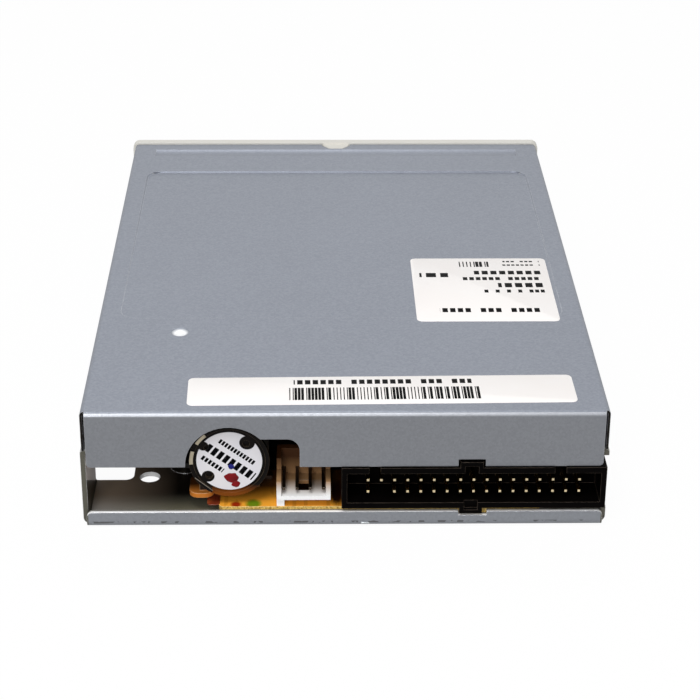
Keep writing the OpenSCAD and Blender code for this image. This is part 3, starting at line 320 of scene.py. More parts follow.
@functools.cache
def drift_group() -> bpy.types.NodeTree:
    """Makes the group of slow patches of lighter and darker tone.

    Returns:
        The group's tree, which puts out a mask.
    """
    graph, given, result = new_group("tone_drift", {"Patches": 60}, {"Mask": "Float"})
    patches = graph.cloud(given.outputs["Patches"], 2.0)
    graph.put(result.inputs["Mask"], graph.ramp(patches, (0.3, 0.7)))
    return graph.tree


@functools.cache
def edge_wear_and_glint_group() -> bpy.types.NodeTree:
    """Makes the group of rounded edges, and of a mask on the edges: scuffs from handling, and on some
    finishes a painted edge highlight.

    Returns:
        The group's tree, which puts out a mask and a normal.
    """
    outputs = {"Mask": "Float", "Normal": "Vector"}
    graph, given, result = new_group("edge_wear_and_glint", {"Radius": 0.0002, "Breakup": 900}, outputs)
    gain = 7.0
    soft = graph.add("Bevel", {"Radius": given.outputs["Radius"]}, samples=6)
    sharp = graph.add("NewGeometry").outputs["Normal"]
    same = graph.add("VectorMath", {0: soft.outputs[0], 1: sharp}, operation="DOT_PRODUCT")
    turned = graph.math("MULTIPLY", graph.minus(1.0, same.outputs["Value"]), gain, clamp=True)
    broken = graph.ramp(graph.cloud(given.outputs["Breakup"], 2.0), (0.25, 0.5))
    graph.put(result.inputs["Mask"], graph.math("MULTIPLY", turned, broken, clamp=True))
    graph.put(result.inputs["Normal"], soft.outputs[0])
    return graph.tree


@functools.cache
def dust_group() -> bpy.types.NodeTree:
    """Makes the group of specks that lie on surfaces that face up.

    Returns:
        The group's tree, which puts out a mask.
    """
    graph, given, result = new_group("dust", {"Amount": 0.1}, {"Mask": "Float"})
    up = graph.math("MAXIMUM", graph.facing()[2], 0.0)
    lying = graph.ramp(graph.cloud(2600.0, 1.0), (0.62, 0.78))
    graph.put(result.inputs["Mask"], graph.product(up, lying, given.outputs["Amount"]))
    return graph.tree


@dataclass(frozen=True)
class Finish:
    """A moulded or coated surface, and the base of the other finishes.

    Lengths are in millimetres, and shares run from 0 to 1.
    """

    name: str
    colour: str
    rough: float
    metal: float = 0.0
    second: str = "#20201e"
    drift: float = 0.12
    patches: float = 70.0
    grain: float = 1.2
    brushing: float = 1.0
    bump: float = 0.1
    bump_depth: float = 0.2
    edge: float = 0.15
    # The edge tone is scuffing on most finishes, and a painted highlight on the cover, the chassis, the
    # board, the terminal and the black plastic.
    wear_and_glint: float = 0.15
    worn_and_glint_tone: str = "#f2f0ea"
    breakup: float = 700.0
    dust: float = 0.05
    dust_tone: str = "#b9b4a8"
    gloss_drift: float = 0.06
    coat: float = 0.0
    through: float = 0.0
    shine: float = 0.5
    # Painted shade, darker towards the front: where it starts and stops behind the bezel, its tone and its
    # greatest share.
    painted_shade_reach: Pair = (0.0, 0.0)
    painted_shade_tone: str = "#1f0d03"
    painted_shade_share: float = 0.94

    def paint(self, graph: Graph) -> Socket:
        """Gives the colour, drifting between the two tones of the finish."""
        patches = graph.use(drift_group(), Patches=self.patches).outputs[0]
        return graph.mix(graph.product(patches, self.drift), self.colour, self.second)

    def fine(self, graph: Graph) -> Socket:
        """Gives the fine grain of the surface, from 0 to 1."""
        fineness = 1.0 / MM / self.grain
        return graph.use(grain_group(), Fineness=fineness, Brushing=self.brushing).outputs[0]

    def relief(self, graph: Graph) -> Socket:
        """Gives the height that the bump follows."""
        return self.fine(graph)

    def gloss(self, graph: Graph) -> Socket:
        """Gives the roughness, which drifts with the grain."""
        return graph.lerp(self.fine(graph), self.rough - self.gloss_drift, self.rough + self.gloss_drift)

    def adjust(self, graph: Graph, shader: bpy.types.Node) -> None:
        """Lets a finish link more of the shader's sockets."""

    def painted_light_and_shade(self, graph: Graph, tone: Any) -> Socket:
        """Paints shade on the surface, darker towards the front, between the two distances behind the bezel
        that the shade's reach gives.

        Args:
            graph: the material's graph.
            tone: the colour without the painted shade.
        Returns:
            The colour to show.
        """
        if self.painted_shade_reach[0] == self.painted_shade_reach[1]:
            return tone
        depth = graph.ramp(graph.where()[1], map(behind, self.painted_shade_reach), high=self.painted_shade_share)
        return graph.mix(depth, tone, self.painted_shade_tone)

    def make(self) -> bpy.types.Material:
        """Builds the material.

        Returns:
            A material with procedural colour, roughness, scuffed and highlighted edges, dust and bump.
        """
        material = bpy.data.materials.new(self.name)
        graph = Graph.of(material)
        shader = graph.add("BsdfPrincipled", {"Metallic": self.metal, "Coat Weight": self.coat,
                                              "Transmission Weight": self.through,
                                              "Specular IOR Level": self.shine})
        graph.add("OutputMaterial", {"Surface": shader.outputs[0]})
        # The edge mask gives scuffing, and on some finishes a painted edge highlight.
        edges = graph.use(edge_wear_and_glint_group(), Radius=self.edge * MM, Breakup=self.breakup)
        brightened = graph.product(edges.outputs["Mask"], self.wear_and_glint)
        colour = graph.mix(brightened, self.paint(graph), self.worn_and_glint_tone)
        specks = graph.use(dust_group(), Amount=self.dust)
        colour = graph.mix(specks.outputs[0], colour, self.dust_tone)
        graph.put(shader.inputs["Base Color"], self.painted_light_and_shade(graph, colour))
        graph.put(shader.inputs["Roughness"], self.gloss(graph))
        bump = graph.add("Bump", {"Strength": self.bump, "Distance": self.bump_depth * MM,
                                  "Height": self.relief(graph), "Normal": edges.outputs["Normal"]})
        graph.put(shader.inputs["Normal"], bump.outputs[0])
        self.adjust(graph, shader)
        return material


@dataclass(frozen=True)
class SheetSteel(Finish):
    """Zinc coated sheet: a fine crystal spangle, and a darker rolled grain."""

    spangle: float = 0.1
    crystal: float = 0.4
    crystal_tone: str = "#c7ccd6"
    rolled_tone: str = "#5e636b"

    def paint(self, graph: Graph) -> Socket:
        """Adds the spangle and the rolled grain to the drifting tone.

        Args:
            graph: the material's graph.
        Returns:
            The colour of the sheet.
        """
        tone = super().paint(graph)
        cells = graph.add("TexVoronoi", {"Vector": graph.place(), "Scale": 1.0 / MM / self.crystal})
        crystals = graph.axes(cells.outputs["Color"])[0]
        tone = graph.mix(graph.product(crystals, self.spangle), tone, self.crystal_tone)
        return graph.mix(graph.product(self.fine(graph), self.spangle), tone, self.rolled_tone)


@dataclass(frozen=True)
class CoverSteel(SheetSteel):
    """The cover's sheet, with painted shade on the cut ends of its two skirts and on the step of its panel, a
    painted light tint on its rear faces, and a painted highlight in its dimple.
    """

    skirt: float = 49.45
    skirt_shade_tone: str = "#17130f"
    rear_light_share: float = 0.3
    rear_light_tone: str = "#94918a"
    step: Pair = (18.2, 19.3)
    step_slope: float = 0.15
    step_shade_tone: str = "#666a74"
    dimple: Pair = (33.1, 107.1)
    dimple_reach: Pair = (1.8, 1.1)
    dimple_low: float = 20.0
    dimple_highlight_tone: str = "#fdfeff"

    def brightened(self, graph: Graph) -> Socket:
        """Gives the mask of the dimple's painted highlight: 1 in the dimple, falling to 0 at its rim.

        Args:
            graph: the material's graph.
        Returns:
            The mask.
        """
        x, y, z = graph.where()
        level = graph.add("CombineXYZ", {0: x, 1: y})
        away = graph.add("VectorMath", {0: level.outputs[0], 1: spot(*self.dimple, 0)}, operation="DISTANCE")
        near = graph.ramp(away.outputs["Value"], (reach * MM for reach in self.dimple_reach))
        return graph.product(near, graph.above(z, self.dimple_low * MM))

    def adjust(self, graph: Graph, shader: bpy.types.Node) -> None:
        """Takes the metal out of the dimple, so that its painted highlight shows as plain white."""
        graph.put(shader.inputs["Metallic"], graph.lerp(self.brightened(graph), self.metal, 0.0))

    def paint(self, graph: Graph) -> Socket:
        """Paints shade on the ends of the skirts and on the step of the panel, a light tint on the rear
        faces, and a highlight in the dimple.

        Args:
            graph: the material's graph.
        Returns:
            The colour of the cover.
        """
        tone = super().paint(graph)
        x, y = graph.where()[:2]
        outside = graph.above(graph.math("ABSOLUTE", x), self.skirt * MM)
        rear = graph.facing()[1]
        # Every face that looks to the rear, the rear flange among them, gets a painted light tint.
        cut = graph.above(rear, STEEP)
        tone = graph.mix(graph.product(cut, self.rear_light_share), tone, self.rear_light_tone)
        # Painted shade on the sloped step of the panel.
        sloped = graph.product(graph.between(y, *map(behind, self.step)), graph.above(rear, self.step_slope))
        tone = graph.mix(sloped, tone, self.step_shade_tone)
        # Painted highlight in the dimple.
        tone = graph.mix(self.brightened(graph), tone, self.dimple_highlight_tone)
        # Painted shade on the cut ends of the skirts, which face the rear.
        return graph.mix(graph.product(outside, cut), tone, self.skirt_shade_tone)


@dataclass(frozen=True)
class TraySteel(SheetSteel):
    """The chassis sheet, with painted shade inside, painted highlights on its rear lip and on the rims of its
    floor holes, painted light on its side wall and a dark broken line along its fold.

    The two tones of near and far are those of the painted shade beside the side wall and away from it. The
    glare, a painted band of light, gives where a line on the side wall starts, behind the bezel and above the
    base, and how steeply it rises to the rear.
    """

    near: tuple[str, str] = ("#a5a29e", "#928e78")
    far: tuple[str, str] = ("#9b8875", "#100904")
    depth_reach: Pair = (138.0, 131.0)
    side_reach: Pair = (49.0, 33.0)
    wall_in: float = 49.5
    wall_margin: float = 0.5
    wall_shade_tone: str = "#4a4438"
    wall_end_shade_tone: str = "#68665c"
    glare: Triple = (125.0, 0.75, 0.585)
    glare_tone: str = "#fbe9e2"
    sheet: float = 1.02
    rim_highlight_tone: str = "#ffffff"
    post_shade_tone: str = "#1a1610"
    lip_front: float = 140.8
    lip_shine: float = 141.4
    lip_low: float = 1.3
    lip_shade_and_highlight_tones: tuple[str, str] = ("#77756e", "#ffffff")
    rims_before: float = 2.0
    posts_before: float = 1.0
    fold_band: Pair = (0.95, 1.4)
    fold_band_patches: float = 420.0
    fold_band_from: float = 0.55
    fold_band_share: float = 0.6
    fold_band_tone: str = "#39342b"

    def lip_edge(self, graph: Graph, front: float) -> Socket:
        """Gives 1 on the upper edge of the rear lip and in its notch, where shade and a highlight are
        painted.

        Args:
            graph: the material's graph.
            front: how far behind the bezel the mask starts.
        Returns:
            The mask.
        """
        y, z = graph.where()[1:]
        level = graph.above(graph.facing()[2], SLIGHT)
        return graph.product(level, graph.above(y, behind(front)), graph.above(z, self.lip_low * MM))

    def inner_wall(self, graph: Graph) -> Socket:
        """Gives 1 on the inner face of the right side wall, near the rear, where shade is painted.

        Args:
            graph: the material's graph.
        Returns:
            The mask.
        """
        x, y = graph.where()[:2]
        inwards = graph.below(graph.facing()[0], -STEEP)
        beside = graph.above(x, (self.wall_in - self.wall_margin) * MM)
        return graph.product(inwards, beside, graph.above(y, behind(self.glare[0])))

    def lit_wall(self, graph: Graph) -> Socket:
        """Gives the mask of the painted light: 1 on the upper part of that face, down to a line that falls
        towards the front.

        Args:
            graph: the material's graph.
        Returns:
            The mask.
        """
        y, z = graph.where()[1:]
        start, height, fall = self.glare
        run = graph.minus(y, behind(start))
        line = graph.math("ADD", graph.product(run, fall), height * MM)
        return graph.product(self.inner_wall(graph), graph.above(z, line))

    def hole_rims(self, graph: Graph) -> Socket:
        """Gives the mask of the painted highlight: 1 on the cut rims of the holes in the floor, where they
        face the rear.

        Args:
            graph: the material's graph.
        Returns:
            The mask.
        """
        y, z = graph.where()[1:]
        rear = graph.above(graph.facing()[1], SLIGHT)
        before = graph.below(y, behind(self.lip_front - self.rims_before))
        return graph.product(graph.below(z, self.sheet * MM), rear, before)

    def adjust(self, graph: Graph, shader: bpy.types.Node) -> None:
        """Dulls the floor, the rims of its holes, the lit wall and the edge of the lip.

        Args:
            graph: the material's graph.
            shader: the material's shader.
        """
        dull = graph.above(graph.facing()[2], SLIGHT)
        for mask in (self.lit_wall(graph), self.hole_rims(graph)):
            dull = graph.math("MAXIMUM", dull, mask)
        graph.put(shader.inputs["Metallic"], graph.lerp(dull, self.metal, 0.0))

    def floor_tone(self, graph: Graph) -> Socket:
        """Gives the painted shade of the floor, darker to the front and away from the side wall.

        Args:
            graph: the material's graph.
        Returns:
            The colour of the floor.
        """
        x, y = graph.where()[:2]
        depth = graph.ramp(y, map(behind, self.depth_reach))
        side = graph.ramp(x, (reach * MM for reach in self.side_reach))
        return graph.mix(depth, graph.mix(side, *self.near), graph.mix(side, *self.far))

    def paint(self, graph: Graph) -> Socket:
        """Adds the painted shade of the inside, the painted highlights on the edges, the painted light on the
        side wall and the dark line on the fold.

        Args:
            graph: the material's graph.
        Returns:
            The colour of the chassis.
        """
        tone = super().paint(graph)
        x, y, z = graph.where()
        rear, up = graph.facing()[1:]
        tone = graph.mix(graph.above(up, FLAT), tone, self.floor_tone(graph))
        # A painted shade band, then a painted highlight, on the upper edge of the rear lip.
        for front, edge_tone in zip((self.lip_front, self.lip_shine), self.lip_shade_and_highlight_tones):
            tone = graph.mix(self.lip_edge(graph, front), tone, edge_tone)
        rear = graph.above(rear, STEEP)
        outer = graph.above(graph.math("ABSOLUTE", x), self.wall_in * MM)
        # Painted shade on the posts inside, which face the rear.
        posts = graph.product(rear, graph.below(y, behind(self.lip_front - self.posts_before)),
                              graph.above(z, self.sheet * MM), graph.minus(1.0, outer))
        # A dark broken line along the fold at the foot of the rear faces.
        fold = graph.product(graph.between(z, *(level * MM for level in self.fold_band)), rear)
        spots = graph.use(drift_group(), Patches=self.fold_band_patches).outputs[0]
        fold_band = graph.product(fold, graph.above(spots, self.fold_band_from), self.fold_band_share)
        # Painted shade on the wall ends, the posts and the inner wall, painted light on the upper wall,
        # painted highlights on the hole rims, and the dark line on the fold.
        for mask, code in ((graph.product(rear, outer), self.wall_end_shade_tone), (posts, self.post_shade_tone),
                           (self.inner_wall(graph), self.wall_shade_tone), (self.lit_wall(graph), self.glare_tone),
                           (self.hole_rims(graph), self.rim_highlight_tone), (fold_band, self.fold_band_tone)):
            tone = graph.mix(mask, tone, code)
        return tone


@dataclass(frozen=True)
class SoftMark:
    """A soft mark on a board, used for ink spots and for painted shadows: its middle, its two radii and its
    colour, in millimetres.
    """

    x: float
    y: float
    half_x: float
    half_y: float
    colour: str


@dataclass(frozen=True)
class Laminate(Finish):
    """Board laminate: a tan face with copper tracks under it, and a pale, fibrous cut edge."""

    cut: str = "#ecca72"
    fibre: float = 2400.0
    fibre_reach: Pair = (-1.1, 1.9)
    fibre_tone: str = "#7a561a"
    track: float = 0.35
    copper: str = "#b06a14"
    pitch: float = 2.2
    lane: Pair = (0.3, 0.62)
    wander: float = 160.0
    wander_from: float = 0.45
    marks: tuple[SoftMark, ...] = ()
    ragged: float = 0.3

    def marked(self, graph: Graph, tone: Any, x: Any, y: Any) -> Socket:
        """Adds the soft marks: ink spots and painted shadows.

        Args:
            graph: the material's graph.
            tone: the bare face's colour.
            x: the place across the drive, in metres.
            y: the place along the drive, in metres.
        Returns:
            The colour with the marks.
        """
        for mark in self.marks:
            middle = spot(mark.x, mark.y, 0)
            across = graph.math("DIVIDE", graph.minus(x, middle.x), mark.half_x * MM)
            along = graph.math("DIVIDE", graph.minus(y, middle.y), mark.half_y * MM)
            reach = graph.math("ADD", graph.product(across, across), graph.product(along, along))
            uneven = graph.lerp(self.fine(graph), -self.ragged, self.ragged)
            soft = graph.math("SUBTRACT", 1 + self.ragged, graph.math("ADD", reach, uneven), clamp=True)
            tone = graph.mix(soft, tone, mark.colour)
        return tone

    def paint(self, graph: Graph) -> Socket:
        """Draws the tracks on the faces and the fibres on the cut edges.

        Args:
            graph: the material's graph.
        Returns:
            The colour of the board.
        """
        face = super().paint(graph)
        x, y = graph.where()[:2]
        lanes = graph.math("FRACT", graph.math("DIVIDE", x, self.pitch * MM))
        wander = graph.use(drift_group(), Patches=self.wander).outputs[0]
        shown = graph.above(wander, self.wander_from)
        track = graph.product(graph.between(lanes, *self.lane), shown, self.track)
        face = self.marked(graph, graph.mix(track, face, self.copper), x, y)
        fibres = graph.use(grain_group(), Fineness=self.fibre, Brushing=1.0).outputs[0]
        edge = graph.mix(graph.lerp(fibres, *self.fibre_reach), self.cut, self.fibre_tone)
        flat = graph.above(graph.math("ABSOLUTE", graph.facing()[2]), STEEP)
        return graph.mix(flat, edge, face)


@dataclass(frozen=True)
class ChipCase(Finish):
    """Black epoxy case whose outer strips, the legs, are tinned metal."""

    middle: float = 0.0
    half: float = 6.0
    margin: float = 0.02
    tin: str = "#c9cac6"

    def legs(self, graph: Graph) -> Socket:
        """Gives 1 on the legs, which stand out of the case along x."""
        away = graph.math("ABSOLUTE", graph.minus(graph.where()[0], self.middle * MM))
        return graph.above(away, (self.half + self.margin) * MM)

    def paint(self, graph: Graph) -> Socket:
        """Gives the legs a tin colour."""
        return graph.mix(self.legs(graph), super().paint(graph), self.tin)

    def adjust(self, graph: Graph, shader: bpy.types.Node) -> None:
        """Makes the legs metal."""
        graph.put(shader.inputs["Metallic"], self.legs(graph))


@dataclass(frozen=True)
class Windings(Finish):
    """Enamelled wire wound side by side."""

    wire: float = 0.16

    def relief(self, graph: Graph) -> Socket:
        """Rounds every wire of the winding.

        Args:
            graph: the material's graph.
        Returns:
            The height, from 0 to 1.
        """
        x, y = graph.where()[:2]
        reach = graph.math("SQRT", graph.math("ADD", graph.product(x, x), graph.product(y, y)))
        turns = graph.math("FRACT", graph.math("DIVIDE", reach, self.wire * MM))
        return graph.math("SINE", graph.product(turns, math.pi))


@dataclass(frozen=True)
class PinPlating(Finish):
    """Plated pins with a painted highlight on the flat end of each: a brighter, non-metal tone where they
    face the rear.
    """

    tip: str = "#dfcca4"
    tip_from: float = 0.35

    def highlighted_tips(self, graph: Graph) -> Socket:
        """Gives the mask of the painted highlight: 1 on the faces that look to the rear."""
        return graph.above(graph.facing()[1], self.tip_from)

    def paint(self, graph: Graph) -> Socket:
        """Paints the highlight on the flat ends."""
        return graph.mix(self.highlighted_tips(graph), super().paint(graph), self.tip)

    def adjust(self, graph: Graph, shader: bpy.types.Node) -> None:
        """Makes the sides metal."""
        graph.put(shader.inputs["Metallic"], graph.lerp(self.highlighted_tips(graph), self.metal, 0.0))


@dataclass(frozen=True)
class TwoLevel(Finish):
    """A finish that has another colour above a given height."""

    change: float = 0.0
    upper: str = "#000000"

    def paint(self, graph: Graph) -> Socket:
        """Colours the part above the change."""
        higher = graph.above(graph.where()[2], self.change * MM)
        return graph.mix(higher, super().paint(graph), self.upper)


@dataclass(frozen=True)
class RimSteel(Finish):
    """Black motor rim with a painted reflection of the amber board along its lower side."""

    middle: Pair = (0.0, 0.0)
    mirror: Pair = (5.2, 7.0)
    mirror_end: float = 3.4
    mirror_least: float = 0.05
    painted_reflection_tone: str = "#7a400c"

    def painted_light_and_shade(self, graph: Graph, tone: Any) -> Socket:
        """Paints the board's reflection on the lower side of the rim's face.

        Args:
            graph: the material's graph.
            tone: the colour without the painted reflection.
        Returns:
            The colour to show.
        """
        x, _, z = graph.where()
        high, low = ((self.middle[1] - drop) * MM for drop in self.mirror)
        share = graph.ramp(z, (high, low), low=self.mirror_least)
        side = graph.below(x, (self.middle[0] + self.mirror_end) * MM)
        return graph.mix(graph.product(share, graph.below(z, high), side), tone, self.painted_reflection_tone)


@dataclass(frozen=True)
class ShroudPlastic(Finish):
    """White plastic of the power connector, with painted shade that browns it towards its top and front, and
    on the faces of its window.

    The two shade pairs are places along a line that rises to the rear and falls with the height.
    """

    window: tuple[Pair, Pair] = ((6.95, 9.05), (135.1, 139.1))
    window_shade_tone: str = "#3a1f0c"
    floor_top: float = 6.45
    slant: float = 0.508
    tan_reach: Pair = (65.2, 61.9)
    tan_shade_tone: str = "#a57f58"
    dark_reach: Pair = (61.4, 57.0)
    dark_shade_tone: str = "#43260f"

    def painted_light_and_shade(self, graph: Graph, tone: Any) -> Socket:
        """Paints shade on the plastic in two steps, tan and then dark brown.

        Args:
            graph: the material's graph.
            tone: the colour without the painted shade.
        Returns:
            The colour to show.
        """
        y, z = graph.where()[1:]
        run = graph.minus(y, behind(0))
        place = graph.minus(graph.product(run, self.slant), z)
        for reach, code in ((self.tan_reach, self.tan_shade_tone), (self.dark_reach, self.dark_shade_tone)):
            tone = graph.mix(graph.ramp(place, (end * MM for end in reach)), tone, code)
        return tone

    def paint(self, graph: Graph) -> Socket:
        """Paints shade on the cut faces of the window.

        Args:
            graph: the material's graph.
        Returns:
            The colour of the plastic.
        """
        x, y, z = graph.where()
        sides, ends = self.window
        here = graph.product(graph.between(x, *(side * MM for side in sides)),
                             graph.between(y, *map(behind, ends)),
                             graph.below(z, self.floor_top * MM))
        return graph.mix(here, super().paint(graph), self.window_shade_tone)


class PrintKind(Enum):
    """What a row of print is made of."""

    BARS = "bars"
    DASHES = "dashes"


@dataclass(frozen=True)
class PrintRow:
    """A row of plain print on a label, in millimetres from the label's middle."""

    kind: PrintKind
    left: float
    right: float
    low: float
    high: float
    cell: float
    share: float
    seed: float


@dataclass(frozen=True)
class Paper(Finish):
    """White coated paper with rows of plain bars and dashes, and no letters."""

    middle: Triple = (0.0, 0.0, 0.0)
    turn: float = 0.0
    upright: bool = False
    rows: tuple[PrintRow, ...] = ()
    dash_ends: Pair = (0.1, 0.8)
    bar_widths: Pair = (0.32, 0.8)
    print_tone: str = "#060607"

    def print_mask(self, graph: Graph, row: PrintRow, across: Any, along: Any) -> Socket:
        """Gives 1 where a row has ink.

        Args:
            graph: the material's graph.
            row: the row of print.
            across: the place along the row, in metres.
            along: the place from row to row, in metres.
        Returns:
            The mask.
        """
        cells = graph.math("DIVIDE", across, row.cell * MM)
        number = graph.math("ADD", graph.math("FLOOR", cells), row.seed)
        chance = graph.add("TexWhiteNoise", {"W": number}, noise_dimensions="1D").outputs[0]
        inked = graph.below(chance, row.share)
        within = graph.math("FRACT", cells)
        if row.kind is PrintKind.DASHES:
            inked = graph.product(inked, graph.between(within, *self.dash_ends))
        else:
            inked = graph.below(within, graph.lerp(inked, *self.bar_widths))
        inside = graph.product(graph.between(across, row.left * MM, row.right * MM),
                               graph.between(along, row.low * MM, row.high * MM))
        return graph.product(inked, inside)

    def paint(self, graph: Graph) -> Socket:
        """Prints the rows on the paper.

        Args:
            graph: the material's graph.
        Returns:
            The colour of the label.
        """
        tone = super().paint(graph)
        middle = spot(*self.middle)
        x, y, z = graph.where()
        if self.upright:
            right = graph.minus(middle.x, x)
            away = graph.minus(z, middle.z)
        else:
            right = graph.minus(x, middle.x)
            away = graph.minus(y, middle.y)
        flat = graph.add("CombineXYZ", {0: right, 1: away})
        level = graph.add("Mapping", {"Vector": flat.outputs[0], "Rotation": (0.0, 0.0, -self.turn)})
        across, along = graph.axes(level.outputs[0])[:2]
        for row in self.rows:
            tone = graph.mix(self.print_mask(graph, row, across, along), tone, self.print_tone)
        return tone


@functools.cache
def material_of(finish: Finish) -> bpy.types.Material:
    """Makes a finish's material once."""
    return finish.make()


# Metals.
ZINC = dict(metal=0.75, brushing=1.6, patches=26.0, drift=0.05, grain=0.45, bump=0.06, edge=0.16, dust=0.03)
# The cover's and the chassis's edge tones are painted highlights.
COVER_ZINC = CoverSteel("cover_zinc", "#8a8f9a", 0.38, wear_and_glint=0.6, worn_and_glint_tone="#eef1f5", spangle=0.14, **ZINC)
CHASSIS_ZINC = TraySteel("chassis_zinc", "#9a9da3", 0.4, wear_and_glint=0.9, worn_and_glint_tone="#f4f5f7", spangle=0.12, **ZINC)
SLIDE_ZINC = SheetSteel("slide_zinc", "#b3b8bc", 0.36, wear_and_glint=0.2, worn_and_glint_tone="#e6e9ec", spangle=0.06, **ZINC)
BRIGHT = Finish("plated_steel", "#c6cacd", 0.3, metal=0.9, brushing=3.0, grain=0.4, drift=0.04, bump=0.06,
                wear_and_glint=0.2, worn_and_glint_tone="#eef0f2")
GROUND = Finish("ground_rod", "#dcdfe1", 0.16, metal=1.0, brushing=6.0, grain=0.2, drift=0.02, bump=0.03,
                wear_and_glint=0.1)
WIRE = Finish("spring_wire", "#b9bcc0", 0.28, metal=0.95, brushing=4.0, grain=0.15, drift=0.08, bump=0.05,
              wear_and_glint=0.1)
SCREW_ZINC = Finish("screw_zinc", "#cfd2d2", 0.3, metal=0.95, second="#b39b63", drift=0.25, patches=300.0,
                    grain=0.25, bump=0.06, wear_and_glint=0.3)
MOTOR_STEEL = Finish("motor_steel", "#a8a49a", 0.36, metal=0.85, grain=0.35, second="#5a5044", drift=0.2,
                     bump=0.07, wear_and_glint=0.25, worn_and_glint_tone="#dad6cc")
MOTOR_RIM = RimSteel("motor_rim", "#0d0907", 0.38, metal=0.1, grain=0.3, second="#050302", drift=0.5,
                     patches=220.0, bump=0.1, wear_and_glint=0.3, worn_and_glint_tone="#8d7b60", shine=0.12)
CAST = Finish("turned_alloy", "#c9cdd0", 0.3, metal=0.95, grain=0.18, drift=0.05, bump=0.08, wear_and_glint=0.2)
BRASS = Finish("turned_brass", "#b8974f", 0.32, metal=1.0, grain=0.2, second="#6f5526", drift=0.2, bump=0.07)
BRONZE = Finish("sintered_bronze", "#8f7448", 0.5, metal=0.9, grain=0.12, drift=0.25, bump=0.2, wear_and_glint=0.1)
MAGNET = Finish("sintered_ferrite", "#3a3a3c", 0.62, grain=0.12, drift=0.2, bump=0.22, wear_and_glint=0.3,
                worn_and_glint_tone="#77777a")
CORE = Finish("stacked_core", "#565a60", 0.45, metal=0.8, grain=0.18, drift=0.15, bump=0.14, wear_and_glint=0.2,
              worn_and_glint_tone="#9a9ea3")
COPPER = Windings("coil_copper", "#a8571f", 0.3, metal=0.6, second="#5b2a0c", drift=0.4, patches=500.0,
                  bump=0.6, coat=0.5, wear_and_glint=0.1, worn_and_glint_tone="#d08a4c")
PIN = dict(metal=1.0, grain=0.14, patches=500.0, bump=0.04, edge=0.05, dust=0.0)
GOLD = PinPlating("pin_gold", "#cfae5e", 0.2, second="#8a6a2a", drift=0.2, wear_and_glint=0.3, worn_and_glint_tone="#f3e3b4", **PIN)
# Tin of the power pins, painted dark brown as shade.
TIN_IN_PAINTED_SHADE = Finish("pin_tin_painted_shade", "#5a4d40", 0.36, second="#2c241c", drift=0.4, wear_and_glint=0.2, **PIN)
CRIMP = Finish("crimp_nickel", "#c9bea6", 0.34, metal=0.6, grain=0.3, second="#7d7058", drift=0.4,
               patches=400.0, bump=0.06, wear_and_glint=0.3, worn_and_glint_tone="#eee6d4")
FLAT_EDGE = replace(CRIMP, name="flat_edge", colour="#7f766c")
SOLDER = Finish("solder", "#c3c5c6", 0.24, metal=1.0, grain=0.5, second="#8f9294", drift=0.4, patches=700.0,
                bump=0.06, wear_and_glint=0.0)

# Metals inside the rear opening, with painted shade that darkens them towards the front.
SHADED = dict(painted_shade_reach=(141.0, 131.0), painted_shade_tone="#15110c")
SHADED_STEEL = replace(BRIGHT, name="shaded_steel", **SHADED)
SHADED_SCREW = replace(SCREW_ZINC, name="shaded_screw", **SHADED)
SHADED_MOTOR = replace(MOTOR_STEEL, name="shaded_motor", **SHADED)

# Plastics and ceramics.
CREAM = Finish("bezel_white", "#dddbd4", 0.5, grain=0.28, second="#c8c4b8", drift=0.18, bump=0.14, wear_and_glint=0.25,
               worn_and_glint_tone="#f1efe9", edge=0.25)
BUTTON = Finish("button_white", "#d0cdc4", 0.44, grain=0.3, second="#b3afa1", drift=0.2, bump=0.1, wear_and_glint=0.3,
                worn_and_glint_tone="#efece4", edge=0.3)
DOOR = Finish("door_white", "#cbc8be", 0.46, grain=0.28, second="#aaa698", drift=0.2, bump=0.12, wear_and_glint=0.3,
              worn_and_glint_tone="#e9e6dd", edge=0.2)
WHITE_MOULDING = dict(grain=0.4, drift=0.2, patches=180.0, bump=0.06, wear_and_glint=0.15, worn_and_glint_tone="#ffffff", edge=0.12)
NYLON = Finish("white_nylon", "#f1efec", 0.38, second="#d9d4c8", **WHITE_MOULDING)
SHROUD = ShroudPlastic("white_shroud", "#fdfdfd", 0.38, second="#f6f4f0", shine=0.15, **WHITE_MOULDING)
# The black plastic's edge tone is a painted highlight as well as scuffing.
BLACK = Finish("black_polyester", "#040303", 0.42, grain=0.22, second="#080605", drift=0.5, patches=200.0,
               bump=0.16, wear_and_glint=0.8, worn_and_glint_tone="#6f6358", edge=0.1, shine=0.03, dust=0.004)
GREY = Finish("glass_filled_grey", "#43484d", 0.5, grain=0.25, second="#2b2f33", drift=0.35, patches=240.0,
              bump=0.2, wear_and_glint=0.3, worn_and_glint_tone="#7b8085")
ARM_GREY = Finish("arm_grey", "#595e63", 0.46, grain=0.25, second="#3d4145", drift=0.3, bump=0.16, wear_and_glint=0.3,
                  worn_and_glint_tone="#8b9094")
CERAMIC = Finish("head_ceramic", "#242326", 0.18, grain=0.5, second="#4a4642", drift=0.3, patches=600.0,
                 bump=0.02, coat=0.4, wear_and_glint=0.2)
LEVER_WHITE = Finish("lever_white", "#dfdccf", 0.42, grain=0.35, second="#c2bca6", drift=0.2, bump=0.08,
                     wear_and_glint=0.2)
LAMP = Finish("lamp_green", "#8fbf78", 0.2, grain=0.6, drift=0.1, bump=0.02, through=0.5, wear_and_glint=0.05, dust=0.0)
LENS = Finish("lens_green", "#6fae58", 0.14, grain=0.5, second="#4f8a3c", drift=0.2, bump=0.03, through=0.35,
              wear_and_glint=0.1, dust=0.0)

